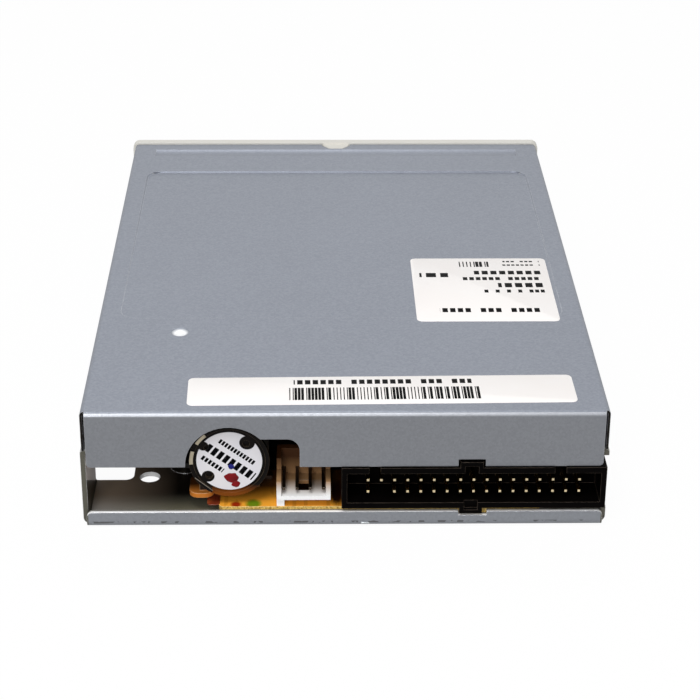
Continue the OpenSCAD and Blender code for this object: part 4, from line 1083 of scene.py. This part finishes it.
# Boards, film and what is soldered on.
# Two ink spots, then painted shadows under the window of the power connector and beside the connector.
BOARD_MARKS = (SoftMark(21.1, 140.1, 1.1, 1.1, "#a32c0a"), SoftMark(17.7, 139.8, 1.6, 1.7, "#6f8c14"),
               SoftMark(8.0, 134.4, 1.7, 2.8, "#1a0a03"), SoftMark(1.55, 136.0, 1.5, 5.2, "#180601"))
# The main board has painted shade towards the front and a painted highlight on its edges.
BOARD = Laminate("main_laminate", "#ffb038", 0.4, second="#f29a1c", drift=0.4, patches=120.0, grain=0.3,
                 bump=0.08, coat=0.1, wear_and_glint=0.9, worn_and_glint_tone="#ffe6a0", shine=0.2, painted_shade_reach=(139.8, 133.0),
                 painted_shade_tone="#2a0803", marks=BOARD_MARKS)
MOTOR_BOARD = Laminate("motor_laminate", "#4f5a2c", 0.4, second="#39421f", drift=0.4, grain=0.3, bump=0.1,
                       cut="#a99a5b", track=0.5, coat=0.2, wear_and_glint=0.2)
# The parts on the board have painted shade towards the front.
BOARD_PARTS = TwoLevel("board_parts", "#a8742c", 0.4, grain=0.3, second="#6b4416", drift=0.4, bump=0.08,
                       painted_shade_reach=(138.0, 131.0), change=4.75, upper="#b4b6b8")
# The terminal has painted shade above its change of height and towards the front, and a painted highlight on
# its edges.
TERMINAL = TwoLevel("terminal_amber", "#e08a38", 0.34, grain=0.3, second="#a85414", drift=0.5, patches=260.0,
                    bump=0.06, coat=0.1, edge=0.2, wear_and_glint=0.8, worn_and_glint_tone="#ffdca8", shine=0.2, painted_shade_reach=(137.2, 134.8),
                    change=5.56, upper="#1d0f07")
FLEX = Finish("brown_film", "#8a381c", 0.3, grain=0.3, second="#4a180c", drift=0.6, patches=300.0, bump=0.05,
              coat=0.4, edge=0.08, wear_and_glint=0.3, worn_and_glint_tone="#b8622c")

# Paper and paint.
PLAIN_PAPER = dict(grain=0.25, second="#f8f0ec", drift=0.3, patches=90.0, bump=0.05, edge=0.05, wear_and_glint=0.1,
                   worn_and_glint_tone="#ffffff", dust=0.02, shine=0.03)
WET_PAINT = dict(grain=0.6, bump=0.05, shine=0.2, wear_and_glint=0.0, dust=0.0)
RED_PAINT = Finish("red_paint", "#8a0d14", 0.3, second="#3f0509", drift=0.7, patches=500.0, **WET_PAINT)
BLUE_PAINT = Finish("blue_paint", "#1a1f7a", 0.3, second="#0a0e40", drift=0.6, patches=700.0, **WET_PAINT)

# Rows of print: left, right, low and high ends, the cell, the share of inked cells and the seed.
bars = functools.partial(PrintRow, PrintKind.BARS)
dashes = functools.partial(PrintRow, PrintKind.DASHES)
REAR_ROWS = (bars(-19.2, 18.2, -1.1, 3.9, 0.65, 0.42, 3.0),
             dashes(-17.6, 16.9, -4.3, -2.5, 1.5, 0.86, 11.0))
COVER_ROWS = (dashes(-11.4, 9.8, 9.7, 11.7, 1.6, 0.84, 5.0),
              dashes(-13.4, -0.1, 0.5, 2.0, 1.2, 0.78, 21.0),
              dashes(-13.4, -3.4, -2.9, -0.7, 2.2, 1.0, 34.0),
              dashes(-13.4, 4.1, -6.0, -4.4, 1.4, 0.86, 47.0),
              dashes(-13.4, 1.3, -9.3, -7.4, 1.9, 0.92, 58.0),
              dashes(-13.4, -5.0, -12.7, -12.0, 1.0, 0.8, 63.0),
              dashes(-13.4, -5.4, -14.6, -13.9, 1.0, 0.8, 71.0),
              bars(-2.2, 4.4, -14.2, -11.4, 0.8, 0.5, 83.0),
              dashes(7.0, 13.2, -8.2, -6.0, 3.1, 1.0, 91.0))
DISC_ROWS = (dashes(-4.3, 4.1, 2.0, 3.0, 0.7, 0.96, 4.0),
             dashes(-5.3, 5.8, -0.9, 0.9, 1.35, 1.0, 15.0),
             dashes(-4.9, 0.3, -2.9, -1.9, 0.8, 0.96, 27.0))


def add_object(name: str, data: Any) -> bpy.types.Object:
    """Adds an object to the scene.

    Args:
        name: its name.
        data: its mesh, lamp or camera.
    Returns:
        The new object.
    """
    thing = bpy.data.objects.new(name, data)
    bpy.context.scene.collection.objects.link(thing)
    return thing


def mesh_of(bm: Shape, name: str) -> bpy.types.Mesh:
    """Turns a bmesh into a mesh and frees it.

    Args:
        bm: the shape.
        name: the mesh's name.
    Returns:
        The mesh.
    """
    mesh = bpy.data.meshes.new(name)
    bm.to_mesh(mesh)
    bm.free()
    return mesh


def publish(bm: Shape, name: str, body: str, finish: Finish) -> bpy.types.Object:
    """Turns a bmesh into a finished piece.

    Args:
        bm: the shape, in place, in metres.
        name: the piece's name.
        body: the CAD body that it rides on.
        finish: what it is made of.
    Returns:
        The new object, at the origin.
    """
    bmesh.ops.remove_doubles(bm, verts=bm.verts[:], dist=MERGE)
    bmesh.ops.recalc_face_normals(bm, faces=bm.faces[:])
    mesh = mesh_of(bm, name)
    mesh.shade_smooth()
    mesh.set_sharp_from_angle(angle=SHARP)
    piece = add_object(name, mesh)
    mesh.materials.append(material_of(finish))
    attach(piece, body)
    LOG.info("%s: %d faces, rides on %s", name, len(mesh.polygons), body)
    return piece


def move(bm: Shape, by: Any) -> None:
    """Moves a whole shape, in metres."""
    bmesh.ops.translate(bm, vec=by, verts=bm.verts[:])


def turn(bm: Shape, angle: float, axis: str, verts: list | None = None) -> None:
    """Turns a shape, or some of its vertices, about an axis through the origin.

    Args:
        bm: the shape.
        angle: how far, in radians.
        axis: X, Y or Z.
        verts: the vertices, if only some turn.
    """
    matrix = Matrix.Rotation(angle, 3, axis)
    bmesh.ops.rotate(bm, cent=(0, 0, 0), matrix=matrix, verts=verts or bm.verts[:])


def round_off(bm: Shape, geom: list, offset: float, segments: int = 2, affect: str = "EDGES") -> None:
    """Rounds edges or corners.

    Args:
        bm: the shape.
        geom: the edges or the corners.
        offset: how far the rounding reaches, in metres.
        segments: how many faces it has.
        affect: EDGES or VERTICES.
    """
    bmesh.ops.bevel(bm, geom=geom, offset=offset, offset_type="OFFSET", segments=segments, profile=0.5,
                    affect=affect, material=-1)


def close_holes(bm: Shape) -> None:
    """Fills every open loop of edges."""
    bmesh.ops.holes_fill(bm, edges=[e for e in bm.edges if e.is_boundary])


def raise_sheet(bm: Shape, thickness: float) -> None:
    """Gives a flat outline its thickness along z and closes its underside.

    Args:
        bm: a shape that is one flat face.
        thickness: how far the upper face is raised, in metres.
    """
    grown = bmesh.ops.extrude_face_region(bm, geom=bm.faces[:])["geom"]
    top = [g for g in grown if isinstance(g, bmesh.types.BMVert)]
    bmesh.ops.translate(bm, vec=(0, 0, thickness), verts=top)
    close_holes(bm)


def rounded_sheet(size: Pair, radius: float, thickness: float) -> Shape:
    """Makes a sheet with round corners and a softened upper rim, flat on the origin.

    Args:
        size: its width and length, in millimetres.
        radius: the rounding of its corners, in millimetres.
        thickness: its thickness, in millimetres.
    Returns:
        The sheet.
    """
    rim_share = 0.3
    bm = bmesh.new()
    bmesh.ops.create_grid(bm, x_segments=1, y_segments=1, size=0.5)
    bmesh.ops.scale(bm, vec=(size[0] * MM, size[1] * MM, 1), verts=bm.verts[:])
    round_off(bm, bm.verts[:], radius * MM, segments=6, affect="VERTICES")
    raise_sheet(bm, thickness * MM)
    top = max(v.co.z for v in bm.verts)
    rim = [e for e in bm.edges if all(abs(v.co.z - top) < SAME_LEVEL for v in e.verts)]
    round_off(bm, rim, rim_share * thickness * MM)
    return bm


def paint_dab(half: Triple, seed: float) -> Shape:
    """Makes an uneven drop of paint that lies on the plane z = 0.

    Args:
        half: half its width, half its length and its height, in millimetres.
        seed: moves the unevenness.
    Returns:
        The drop.
    """
    unevenness = 0.22
    lumps = 1.6
    bm = bmesh.new()
    bmesh.ops.create_icosphere(bm, subdivisions=4, radius=1)
    for v in bm.verts:
        v.co *= 1 + unevenness * noise.noise(v.co * lumps + Vector((seed, 0, 0)))
    bmesh.ops.scale(bm, vec=[h * MM for h in half], verts=bm.verts[:])
    everything = bm.verts[:] + bm.edges[:] + bm.faces[:]
    bmesh.ops.bisect_plane(bm, geom=everything, plane_co=(0, 0, 0), plane_no=(0, 0, 1), clear_inner=True)
    close_holes(bm)
    return bm


def stand_up(bm: Shape, at: Vector) -> None:
    """Turns a shape that lies on z = 0 so that it faces the rear, and puts it in place."""
    turn(bm, -QUARTER, "X")
    move(bm, at)


@dataclass
class SubAssembly:
    """A group of pieces: the finish of each CAD node, and what is built on top of them."""

    def finishes(self) -> dict[str, Finish]:
        """Gives the finish of every CAD node of the group."""
        return {}

    def dress(self) -> None:
        """Gives every CAD node of the group its material."""
        for node, finish in self.finishes().items():
            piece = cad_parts[node]
            piece.data.materials.clear()
            piece.data.materials.append(material_of(finish))
            LOG.info("%s: %s", node, finish.name)

    def build(self) -> None:
        """Builds the group's own pieces."""


@dataclass
class PaperLabel:
    """A paper label on the cover, in millimetres."""

    name: str
    size: Pair
    middle: Pair
    turn: float
    fall: float
    rows: tuple[PrintRow, ...]
    corner: float = 1.2
    thickness: float = 0.1
    sink: float = 0.01

    def build(self) -> None:
        """Lays the label on the cover, along the slope that the cover has there."""
        bm = rounded_sheet(self.size, self.corner, self.thickness)
        turn(bm, self.turn, "Z")
        turn(bm, math.atan2(self.fall, self.size[1]), "X")
        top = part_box("top_cover")[1].z / MM
        move(bm, spot(*self.middle, top - self.fall / 2 - self.sink))
        paper = Paper(self.name + "_paper", "#fffcfa", 0.5, middle=(*self.middle, 0.0), turn=self.turn,
                      rows=self.rows, **PLAIN_PAPER)
        publish(bm, self.name, "frame", paper)


@dataclass
class Housing(SubAssembly):
    """The chassis with its lip mark, the cover with its labels, and the front, in millimetres."""

    labels: tuple[PaperLabel, ...] = (
        PaperLabel("rear_label", (74.5, 11.3), (-7.05, 132.75), 0.0134, 0.0, REAR_ROWS),
        PaperLabel("cover_label", (29.6, 32.0), (-30.2, 86.5), 0.0, 0.153, COVER_ROWS))
    lip_rear: float = 142.0
    mark_size: Pair = (1.7, 0.4)
    mark_corner: float = 0.19
    mark_thickness: float = 0.12
    mark_place: Pair = (-3.86, 0.84)
    mark_sink: float = 0.02

    def finishes(self) -> dict[str, Finish]:
        """Gives the finish of every CAD node of the housing.

        Returns:
            The finishes, by node.
        """
        return {"chassis": CHASSIS_ZINC, "top_cover": COVER_ZINC, "front_bezel": CREAM, "door_flap": DOOR,
                "door_spring": WIRE, "eject_button": BUTTON, "lamp": LAMP, "lamp_lens": LENS}

    def build(self) -> None:
        """Lays the two labels on the cover and the mark on the lip."""
        for label in self.labels:
            label.build()
        mark = rounded_sheet(self.mark_size, self.mark_corner, self.mark_thickness)
        x, z = self.mark_place
        stand_up(mark, spot(x, self.lip_rear - self.mark_sink, z))
        publish(mark, "lip_mark", "frame", BRIGHT)


@dataclass
class LoadingMechanism(SubAssembly):
    """The slide with its springs, the disk carrier on its pins, and the shutter lever."""

    def finishes(self) -> dict[str, Finish]:
        """Gives the finish of every CAD node of the loading mechanism.

        Returns:
            The finishes, by node.
        """
        return {"eject_slide": SLIDE_ZINC, "eject_springs": WIRE, "disk_carrier": BRIGHT,
                "carrier_pins": GROUND, "shutter_lever": LEVER_WHITE, "lever_pivot_pin": GROUND,
                "lever_spring": WIRE}


@dataclass
class SpindleMotor(SubAssembly):
    """The motor board with its stator, and the rotor with the hub."""

    def finishes(self) -> dict[str, Finish]:
        """Gives the finish of every CAD node of the spindle motor.

        Returns:
            The finishes, by node.
        """
        return {"motor_board": MOTOR_BOARD, "bearing_housing": BRASS, "spindle_bearing": BRONZE,
                "stator_core": CORE, "stator_coils": COPPER, "rotor_cup": BRIGHT, "ring_magnet": MAGNET,
                "spindle_shaft": GROUND, "spindle_hub": CAST, "chuck_magnet": MAGNET, "drive_pin_arm": BRASS}


@dataclass
class RimCrimp:
    """A crimped tab of the stepper's rim: its angles in degrees and its radii in millimetres.

    The angles go from the drive's right side upwards.
    """

    name: str
    start: float
    sweep: float
    inner: float
    outer: float
    thickness: float = 0.3
    lift: float = 0.05
    steps: int = 10

    def build(self, axis: Vector) -> None:
        """Bends the tab over the rim.

        Args:
            axis: the middle of the stepper's end face.
        """
        bm = bmesh.new()
        bmesh.ops.create_grid(bm, x_segments=1, y_segments=1, size=0.5)
        bmesh.ops.scale(bm, vec=((self.outer - self.inner) * MM, self.thickness * MM, 1), verts=bm.verts[:])
        move(bm, ((self.outer + self.inner) / 2 * MM, 0, 0))
        turn(bm, math.radians(-self.start), "Y")
        section = bm.verts[:] + bm.edges[:] + bm.faces[:]
        bmesh.ops.spin(bm, geom=section, cent=(0, 0, 0), axis=(0, -1, 0), angle=math.radians(self.sweep),
                       steps=self.steps, use_merge=False)
        close_holes(bm)
        move(bm, axis + Vector((0, self.lift, 0)) * MM)
        publish(bm, self.name, "frame", CRIMP)


@dataclass
class PaintDab:
    """A drop of paint on the stepper's label, in millimetres from the label's middle."""

    name: str
    finish: Finish
    place: Pair
    half: Triple
    seed: float

    def build(self, at: Vector) -> None:
        """Lays the drop on the label.

        Args:
            at: the place of the drop's middle.
        """
        bm = paint_dab(self.half, self.seed)
        stand_up(bm, at)
        publish(bm, self.name, "frame", self.finish)


@dataclass
class HeadPositioner(SubAssembly):
    """The stepper with its paper disc, crimped rim and paint marks, and the head carriage, in millimetres.

    Each bite of the disc has its angle in degrees, its distance from the middle and its radius.
    """

    disc_radius: float = 6.3
    disc_thickness: float = 0.12
    disc_segments: int = 120
    recess: float = 0.25
    print_turn: float = math.radians(-37)
    bites: tuple[Triple, ...] = ((49.0, 5.3, 1.5), (146.0, 5.9, 1.0), (219.0, 5.3, 1.25))
    bite_segments: int = 48
    bite_depth: float = 4.0
    flat_size: Pair = (4.5, 0.14)
    flat_corner: float = 0.06
    flat_thickness: float = 0.1
    flat_place: Pair = (4.95, -5.0)
    flat_turn: float = math.radians(-40.5)
    flat_sink: float = 0.02
    film_length: float = 6.4
    film_corner: float = 0.8
    film_thickness: float = 0.16
    film_overlaps: Pair = (0.2, 1.3)
    film_before: float = 3.7
    film_lift: float = 0.02
    dab_sink: float = 0.01
    crimps: tuple[RimCrimp, ...] = (RimCrimp("stepper_crimp_side", -4.0, 22.0, 6.95, 7.65),
                                    RimCrimp("stepper_crimp_upper", 32.0, 20.0, 6.95, 7.6))
    dabs: tuple[PaintDab, ...] = (
        PaintDab("paint_red", RED_PAINT, (-0.35, -3.6), (1.3, 1.05, 0.22), 2.0),
        PaintDab("paint_red_run", RED_PAINT, (-1.15, -5.0), (0.8, 0.75, 0.18), 5.0),
        PaintDab("paint_blue", BLUE_PAINT, (-0.35, -1.2), (0.6, 0.55, 0.14), 8.0))

    def finishes(self) -> dict[str, Finish]:
        """Gives the finish of every CAD node of the stepper and the heads.

        Returns:
            The finishes, by node.
        """
        axis = self.axis() / MM
        rim = replace(MOTOR_RIM, middle=(axis.x, axis.z))
        return {"head_carriage": GREY, "lower_head": CERAMIC, "upper_arm": ARM_GREY, "upper_head": CERAMIC,
                "arm_hinge_pin": GROUND, "arm_spring": WIRE, "guide_rod": GROUND, "rod_clamps": MOTOR_STEEL,
                "clamp_screws": SCREW_ZINC, "lead_screw": GROUND, "follower_needle": GROUND,
                "stepper_case": SHADED_MOTOR, "stepper_end_cap": rim, "stepper_bracket": SHADED_STEEL,
                "bracket_screws": SHADED_SCREW, "stepper_terminal": TERMINAL}

    def axis(self) -> Vector:
        """Gives the middle of the stepper's end face, in metres."""
        low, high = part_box("stepper_end_cap")
        return Vector(((low.x + high.x) / 2, high.y, (low.z + high.z) / 2))

    def on_disc(self, x: float, z: float, lift: float) -> Vector:
        """Gives a place on the end face, to the left and up from its middle, seen from behind."""
        return self.axis() + Vector((x, lift - self.recess, z)) * MM

    def bite(self, angle: float, reach: float, radius: float) -> bpy.types.Object:
        """Makes the round tool that cuts one bite out of the disc.

        Args:
            angle: its place round the disc, in degrees.
            reach: how far it is from the middle.
            radius: its radius.
        Returns:
            The tool.
        """
        bm = bmesh.new()
        bmesh.ops.create_cone(bm, cap_ends=True, segments=self.bite_segments, radius1=radius * MM,
                              radius2=radius * MM, depth=self.bite_depth * MM)
        way = math.radians(angle)
        move(bm, Vector((-reach * math.cos(way), reach * math.sin(way), 0)) * MM)
        return add_object("bite", mesh_of(bm, "bite"))

    def paper_disc(self) -> None:
        """Cuts the round label, with a bite for each hole of the end cap."""
        bm = bmesh.new()
        bmesh.ops.create_circle(bm, cap_ends=True, segments=self.disc_segments, radius=self.disc_radius * MM)
        raise_sheet(bm, self.disc_thickness * MM)
        blank = add_object("disc_blank", mesh_of(bm, "disc_blank"))
        tools = [self.bite(*bite) for bite in self.bites]
        for tool in tools:
            cut = blank.modifiers.new("bite", "BOOLEAN")
            cut.operation = "DIFFERENCE"
            cut.solver = "EXACT"
            cut.object = tool
        bm = bmesh.new()
        bm.from_mesh(blank.evaluated_get(bpy.context.evaluated_depsgraph_get()).to_mesh())
        for tool in tools + [blank]:
            bpy.data.objects.remove(tool)
        turn(bm, QUARTER, "X")
        move(bm, self.on_disc(0, 0, self.disc_thickness))
        axis = self.axis() / MM
        paper = Paper("stepper_paper", "#dcdce2", 0.46, middle=(axis.x, 0.0, axis.z), upright=True,
                      turn=self.print_turn, rows=DISC_ROWS, **PLAIN_PAPER)
        publish(bm, "stepper_label", "frame", paper)

    def terminal_film(self) -> None:
        """Lays the film that joins the terminal plate to the main board."""
        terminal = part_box("stepper_terminal")[0]
        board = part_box("main_board")[1]
        left = board.x / MM - self.film_overlaps[0]
        right = terminal.x / MM + self.film_overlaps[1]
        bm = rounded_sheet((right - left, self.film_length), self.film_corner, self.film_thickness)
        move(bm, Vector(((left + right) / 2 * MM, board.y - self.film_before * MM,
                         board.z + self.film_lift * MM)))
        publish(bm, "terminal_film", "frame", FLEX)

    def rim_flat(self) -> None:
        """Lays the pale edge of the flat that is cut across the rim, below the terminal."""
        bm = rounded_sheet(self.flat_size, self.flat_corner, self.flat_thickness)
        turn(bm, self.flat_turn, "Z")
        stand_up(bm, self.on_disc(*self.flat_place, self.recess - self.flat_sink))
        publish(bm, "stepper_rim_flat", "frame", FLAT_EDGE)

    def build(self) -> None:
        """Builds the round label, the rim's details, the paint marks and the terminal's film."""
        self.paper_disc()
        self.terminal_film()
        self.rim_flat()
        for crimp in self.crimps:
            crimp.build(self.axis())
        for dab in self.dabs:
            dab.build(self.on_disc(*dab.place, self.disc_thickness - self.dab_sink))


@dataclass
class RearBoard(SubAssembly):
    """The main board with its chips, connectors and switches, in millimetres."""

    pin: float = 0.64
    pitch: float = 2.54
    header_columns: int = 17
    header_skipped: int = 15
    header_x: float = -24.7
    header_z: float = 8.8
    header_tip: float = 141.4
    header_tails: Pair = (130.8, 128.3)
    power_columns: int = 4
    power_x: float = 8.0
    power_z: float = 7.75
    power_tip: float = 140.6
    power_tail: float = 129.6
    tail_low: float = 1.9
    bend: float = 0.45
    bend_steps: int = 3
    taper: float = 0.3
    tip_share: float = 0.74
    board_top: float = 4.0
    solder_radii: Pair = (0.95, 0.45)
    solder_height: float = 0.5
    solder_lift: float = 0.24
    solder_round: float = 0.12
    solder_segments: int = 12
    solder_edge: float = 0.6
    chip_legs: float = 0.95

    def chip_case(self, node: str, name: str) -> ChipCase:
        """Makes the finish of a chip, from the box of its CAD node.

        Args:
            node: the CAD node.
            name: the finish's name.
        Returns:
            The finish.
        """
        low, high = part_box(node)
        return ChipCase(name, "#222326", 0.5, middle=(low.x + high.x) / 2 / MM,
                        half=(high.x - low.x) / 2 / MM - self.chip_legs, grain=0.2, second="#343437",
                        drift=0.3, bump=0.18, wear_and_glint=0.2, worn_and_glint_tone="#5d5d60")

    def finishes(self) -> dict[str, Finish]:
        """Gives the finish of every CAD node of the board and the switches.

        Returns:
            The finishes, by node.
        """
        return {"main_board": BOARD, "board_screws": SCREW_ZINC, "data_header": BLACK, "header_pins": GOLD,
                "power_connector": SHROUD, "power_pins": TIN_IN_PAINTED_SHADE,
                "control_chip": self.chip_case("control_chip", "control_case"),
                "drive_chip": self.chip_case("drive_chip", "drive_case"), "board_parts": BOARD_PARTS,
                "track_sensor": BLACK, "switch_bodies": BLACK, "protect_plunger": NYLON,
                "disk_plunger": NYLON, "density_plunger": NYLON}

    def columns(self, middle: float, count: int) -> list[float]:
        """Gives the places of a row of pins across the drive."""
        return [middle + (column - (count - 1) / 2) * self.pitch for column in range(count)]

    def bent_pin(self, bm: Shape, x: float, z: float, tip: float, tail: float) -> None:
        """Draws one square pin with a tapered tip and a round bend down to its tail.

        Args:
            bm: the shape that it is added to.
            x: its place across the drive.
            z: the height of its straight part.
            tip: how far behind the bezel its tip is.
            tail: how far behind the bezel its tail is.
        """
        bend = self.bend
        half = 0.5 * self.pin * self.tip_share
        verts = bmesh.ops.create_grid(bm, x_segments=1, y_segments=1, size=half * MM)["verts"]
        turn(bm, QUARTER, "X", verts)
        bmesh.ops.translate(bm, vec=spot(x, tip, z), verts=verts)
        face = verts[0].link_faces[0]
        for run, widen in ((self.taper, 1 / self.tip_share), (tip - tail - self.taper - bend, 1.0)):
            face = self.pushed(bm, face, Vector((0, -run * MM, 0)))
            back = Matrix.Translation(-face.calc_center_median())
            bmesh.ops.scale(bm, vec=(widen, 1, widen), space=back, verts=face.verts[:])
        step = Matrix.Rotation(QUARTER / self.bend_steps, 3, "X")
        for _ in range(self.bend_steps):
            face = self.pushed(bm, face, Vector((0, 0, 0)))
            bmesh.ops.rotate(bm, cent=spot(x, tail + bend, z - bend), matrix=step, verts=face.verts[:])
        self.pushed(bm, face, Vector((0, 0, -(z - bend - self.tail_low) * MM)))

    @staticmethod
    def pushed(bm: Shape, face: bmesh.types.BMFace, by: Vector) -> bmesh.types.BMFace:
        """Extrudes one face and moves it.

        Args:
            bm: the shape.
            face: the face.
            by: how far it moves, in metres.
        Returns:
            The moved face.
        """
        new = bmesh.ops.extrude_discrete_faces(bm, faces=[face])["faces"][0]
        bmesh.ops.translate(bm, vec=by, verts=new.verts[:])
        return new

    def header(self) -> None:
        """Draws the pins of the data header, with one place left empty as the key."""
        bm = bmesh.new()
        rows = [self.header_z - self.pitch / 2, self.header_z + self.pitch / 2]
        for column, x in enumerate(self.columns(self.header_x, self.header_columns)):
            for row, z in enumerate(rows):
                if column != self.header_skipped or row == 1:
                    self.bent_pin(bm, x, z, self.header_tip, self.header_tails[row])
        close_holes(bm)
        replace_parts(publish(bm, "header_pins_tapered", "frame", GOLD), "header_pins")

    def power(self) -> None:
        """Draws the pins of the power connector."""
        bm = bmesh.new()
        for x in self.columns(self.power_x, self.power_columns):
            self.bent_pin(bm, x, self.power_z, self.power_tip, self.power_tail)
        close_holes(bm)
        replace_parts(publish(bm, "power_pins_tapered", "frame", TIN_IN_PAINTED_SHADE), "power_pins")

    def solder(self) -> None:
        """Puts a fillet of solder round every tail, on the board."""
        bm = bmesh.new()
        header = self.columns(self.header_x, self.header_columns)
        tails = [(x, y) for x in header for y in self.header_tails]
        tails += [(x, self.power_tail) for x in self.columns(self.power_x, self.power_columns)]
        low, high = (radius * MM for radius in self.solder_radii)
        for x, y in tails:
            cone = bmesh.ops.create_cone(bm, cap_ends=True, segments=self.solder_segments, radius1=low,
                                         radius2=high, depth=self.solder_height * MM)
            bmesh.ops.translate(bm, vec=spot(x, y, self.board_top + self.solder_lift), verts=cone["verts"])
        rims = [e for e in bm.edges if len(e.link_faces) == 2 and e.calc_face_angle(0) > self.solder_edge]
        round_off(bm, rims, self.solder_round * MM)
        publish(bm, "solder_fillets", "frame", SOLDER)

    def build(self) -> None:
        """Builds the pins and their solder."""
        self.header()
        self.power()
        self.solder()


@dataclass
class PhotoCamera:
    """The camera of the photograph: behind the drive and above it."""

    lens: float = 103.24
    sensor: float = 36.0
    clip: Pair = (0.01, 50.0)
    place: Triple = (0.00693, 0.40498, 0.20483)
    tilt: float = 0.46461
    turn: float = -0.02295
    roll: float = 0.00773

    def build(self) -> None:
        """Makes the camera and looks through it."""
        data = bpy.data.cameras.new("photo_camera")
        data.lens = self.lens
        data.sensor_width = self.sensor
        data.clip_start, data.clip_end = self.clip
        level = math.cos(self.tilt)
        ahead = Vector((math.sin(self.turn) * level, -math.cos(self.turn) * level, -math.sin(self.tilt)))
        right = Vector((-math.cos(self.turn), -math.sin(self.turn), 0))
        up = right.cross(ahead)
        leaning_right = right * math.cos(self.roll) + up * math.sin(self.roll)
        leaning_up = up * math.cos(self.roll) - right * math.sin(self.roll)
        axes = Matrix((leaning_right, leaning_up, -ahead)).transposed().to_4x4()
        camera = add_object("photo_camera", data)
        camera.matrix_world = Matrix.Translation(self.place) @ axes
        bpy.context.scene.camera = camera


@dataclass
class SoftBox:
    """One square studio lamp, in metres and watts."""

    name: str
    place: Triple
    side: float
    power: float

    def build(self) -> None:
        """Hangs the lamp so that it faces the drive."""
        data = bpy.data.lights.new(self.name, "AREA")
        data.shape = "SQUARE"
        data.size = self.side
        data.energy = self.power
        lamp = add_object(self.name, data)
        lamp.location = self.place
        lamp.rotation_mode = "QUATERNION"
        lamp.rotation_quaternion = (-Vector(self.place)).to_track_quat("-Z", "Y")


@dataclass
class Studio:
    """A pale floor, an even white room and soft lamps, in metres."""

    room_level: float = 0.36
    mirror_level: float = 0.86
    floor_half: float = 3.0
    floor_gap: float = 0.0001
    floor_tone: str = "#b4b4b4"
    floor_glow: float = 0.92
    floor_white: float = 1.045
    glossy_glow: float = 0.3
    lamps: tuple[SoftBox, ...] = (SoftBox("front_lamp", (0.05, -0.66, 1.0), 0.32, 1.3),
                                  SoftBox("high_lamp", (0.15, 0.55, 1.1), 0.5, 7.0),
                                  SoftBox("rear_lamp", (0.2, 1.0, 0.5), 0.4, 4.4))

    @staticmethod
    def shown(graph: Graph, lit: bpy.types.Node, white: bpy.types.Node, levels: Pair) -> Socket:
        """Shows a plain white to the camera and in reflections, in place of what lights the drive.

        Args:
            graph: the graph of the floor or of the room.
            lit: the shader that lights the drive.
            white: the plain white shader.
            levels: how much of the white the camera sees, and mirrors and glass.
        Returns:
            The mixed shader.
        """
        path = graph.add("LightPath").outputs
        other = graph.math("MAXIMUM", path["Is Glossy Ray"], path["Is Transmission Ray"])
        seen = graph.math("MAXIMUM", graph.product(path["Is Camera Ray"], levels[0]),
                          graph.product(other, levels[1]))
        return graph.add("MixShader", {0: seen, 1: lit.outputs[0], 2: white.outputs[0]}).outputs[0]

    def floor(self) -> None:
        """Lays the floor, white to the camera but for the drive's faint shadow."""
        bm = bmesh.new()
        bmesh.ops.create_grid(bm, x_segments=4, y_segments=4, size=self.floor_half)
        mesh = mesh_of(bm, "studio_floor")
        floor = add_object("studio_floor", mesh)
        floor.location.z = cad_box[0].z - self.floor_gap
        material = bpy.data.materials.new("floor_white")
        graph = Graph.of(material)
        matte = graph.add("BsdfDiffuse", {"Color": ink(self.floor_tone)})
        glow = graph.add("Emission", {"Color": WHITE, "Strength": self.floor_white})
        surface = self.shown(graph, matte, glow, (self.floor_glow, self.glossy_glow))
        graph.add("OutputMaterial", {"Surface": surface})
        mesh.materials.append(material)

    def room(self) -> None:
        """Fills the room with even light, white to the camera and to mirrors."""
        world = bpy.data.worlds.new("studio_room")
        bpy.context.scene.world = world
        graph = Graph.of(world)
        lit = graph.add("Background", {"Color": WHITE, "Strength": self.room_level})
        white = graph.add("Background", {"Color": WHITE, "Strength": 1.0})
        surface = self.shown(graph, lit, white, (1.0, self.mirror_level))
        graph.add("OutputWorld", {"Surface": surface})

    def build(self) -> None:
        """Sets up the floor, the room and the lamps."""
        bpy.context.scene.view_settings.view_transform = "Standard"
        self.floor()
        self.room()
        for lamp in self.lamps:
            lamp.build()


def main() -> None:
    """Builds the camera, the studio and every group of the drive."""
    logging.basicConfig(level=logging.INFO, format="%(name)s: %(message)s")
    PhotoCamera().build()
    Studio().build()
    for group in (Housing(), LoadingMechanism(), SpindleMotor(), HeadPositioner(), RearBoard()):
        group.dress()
        group.build()


if __name__ == "__main__":
    main()
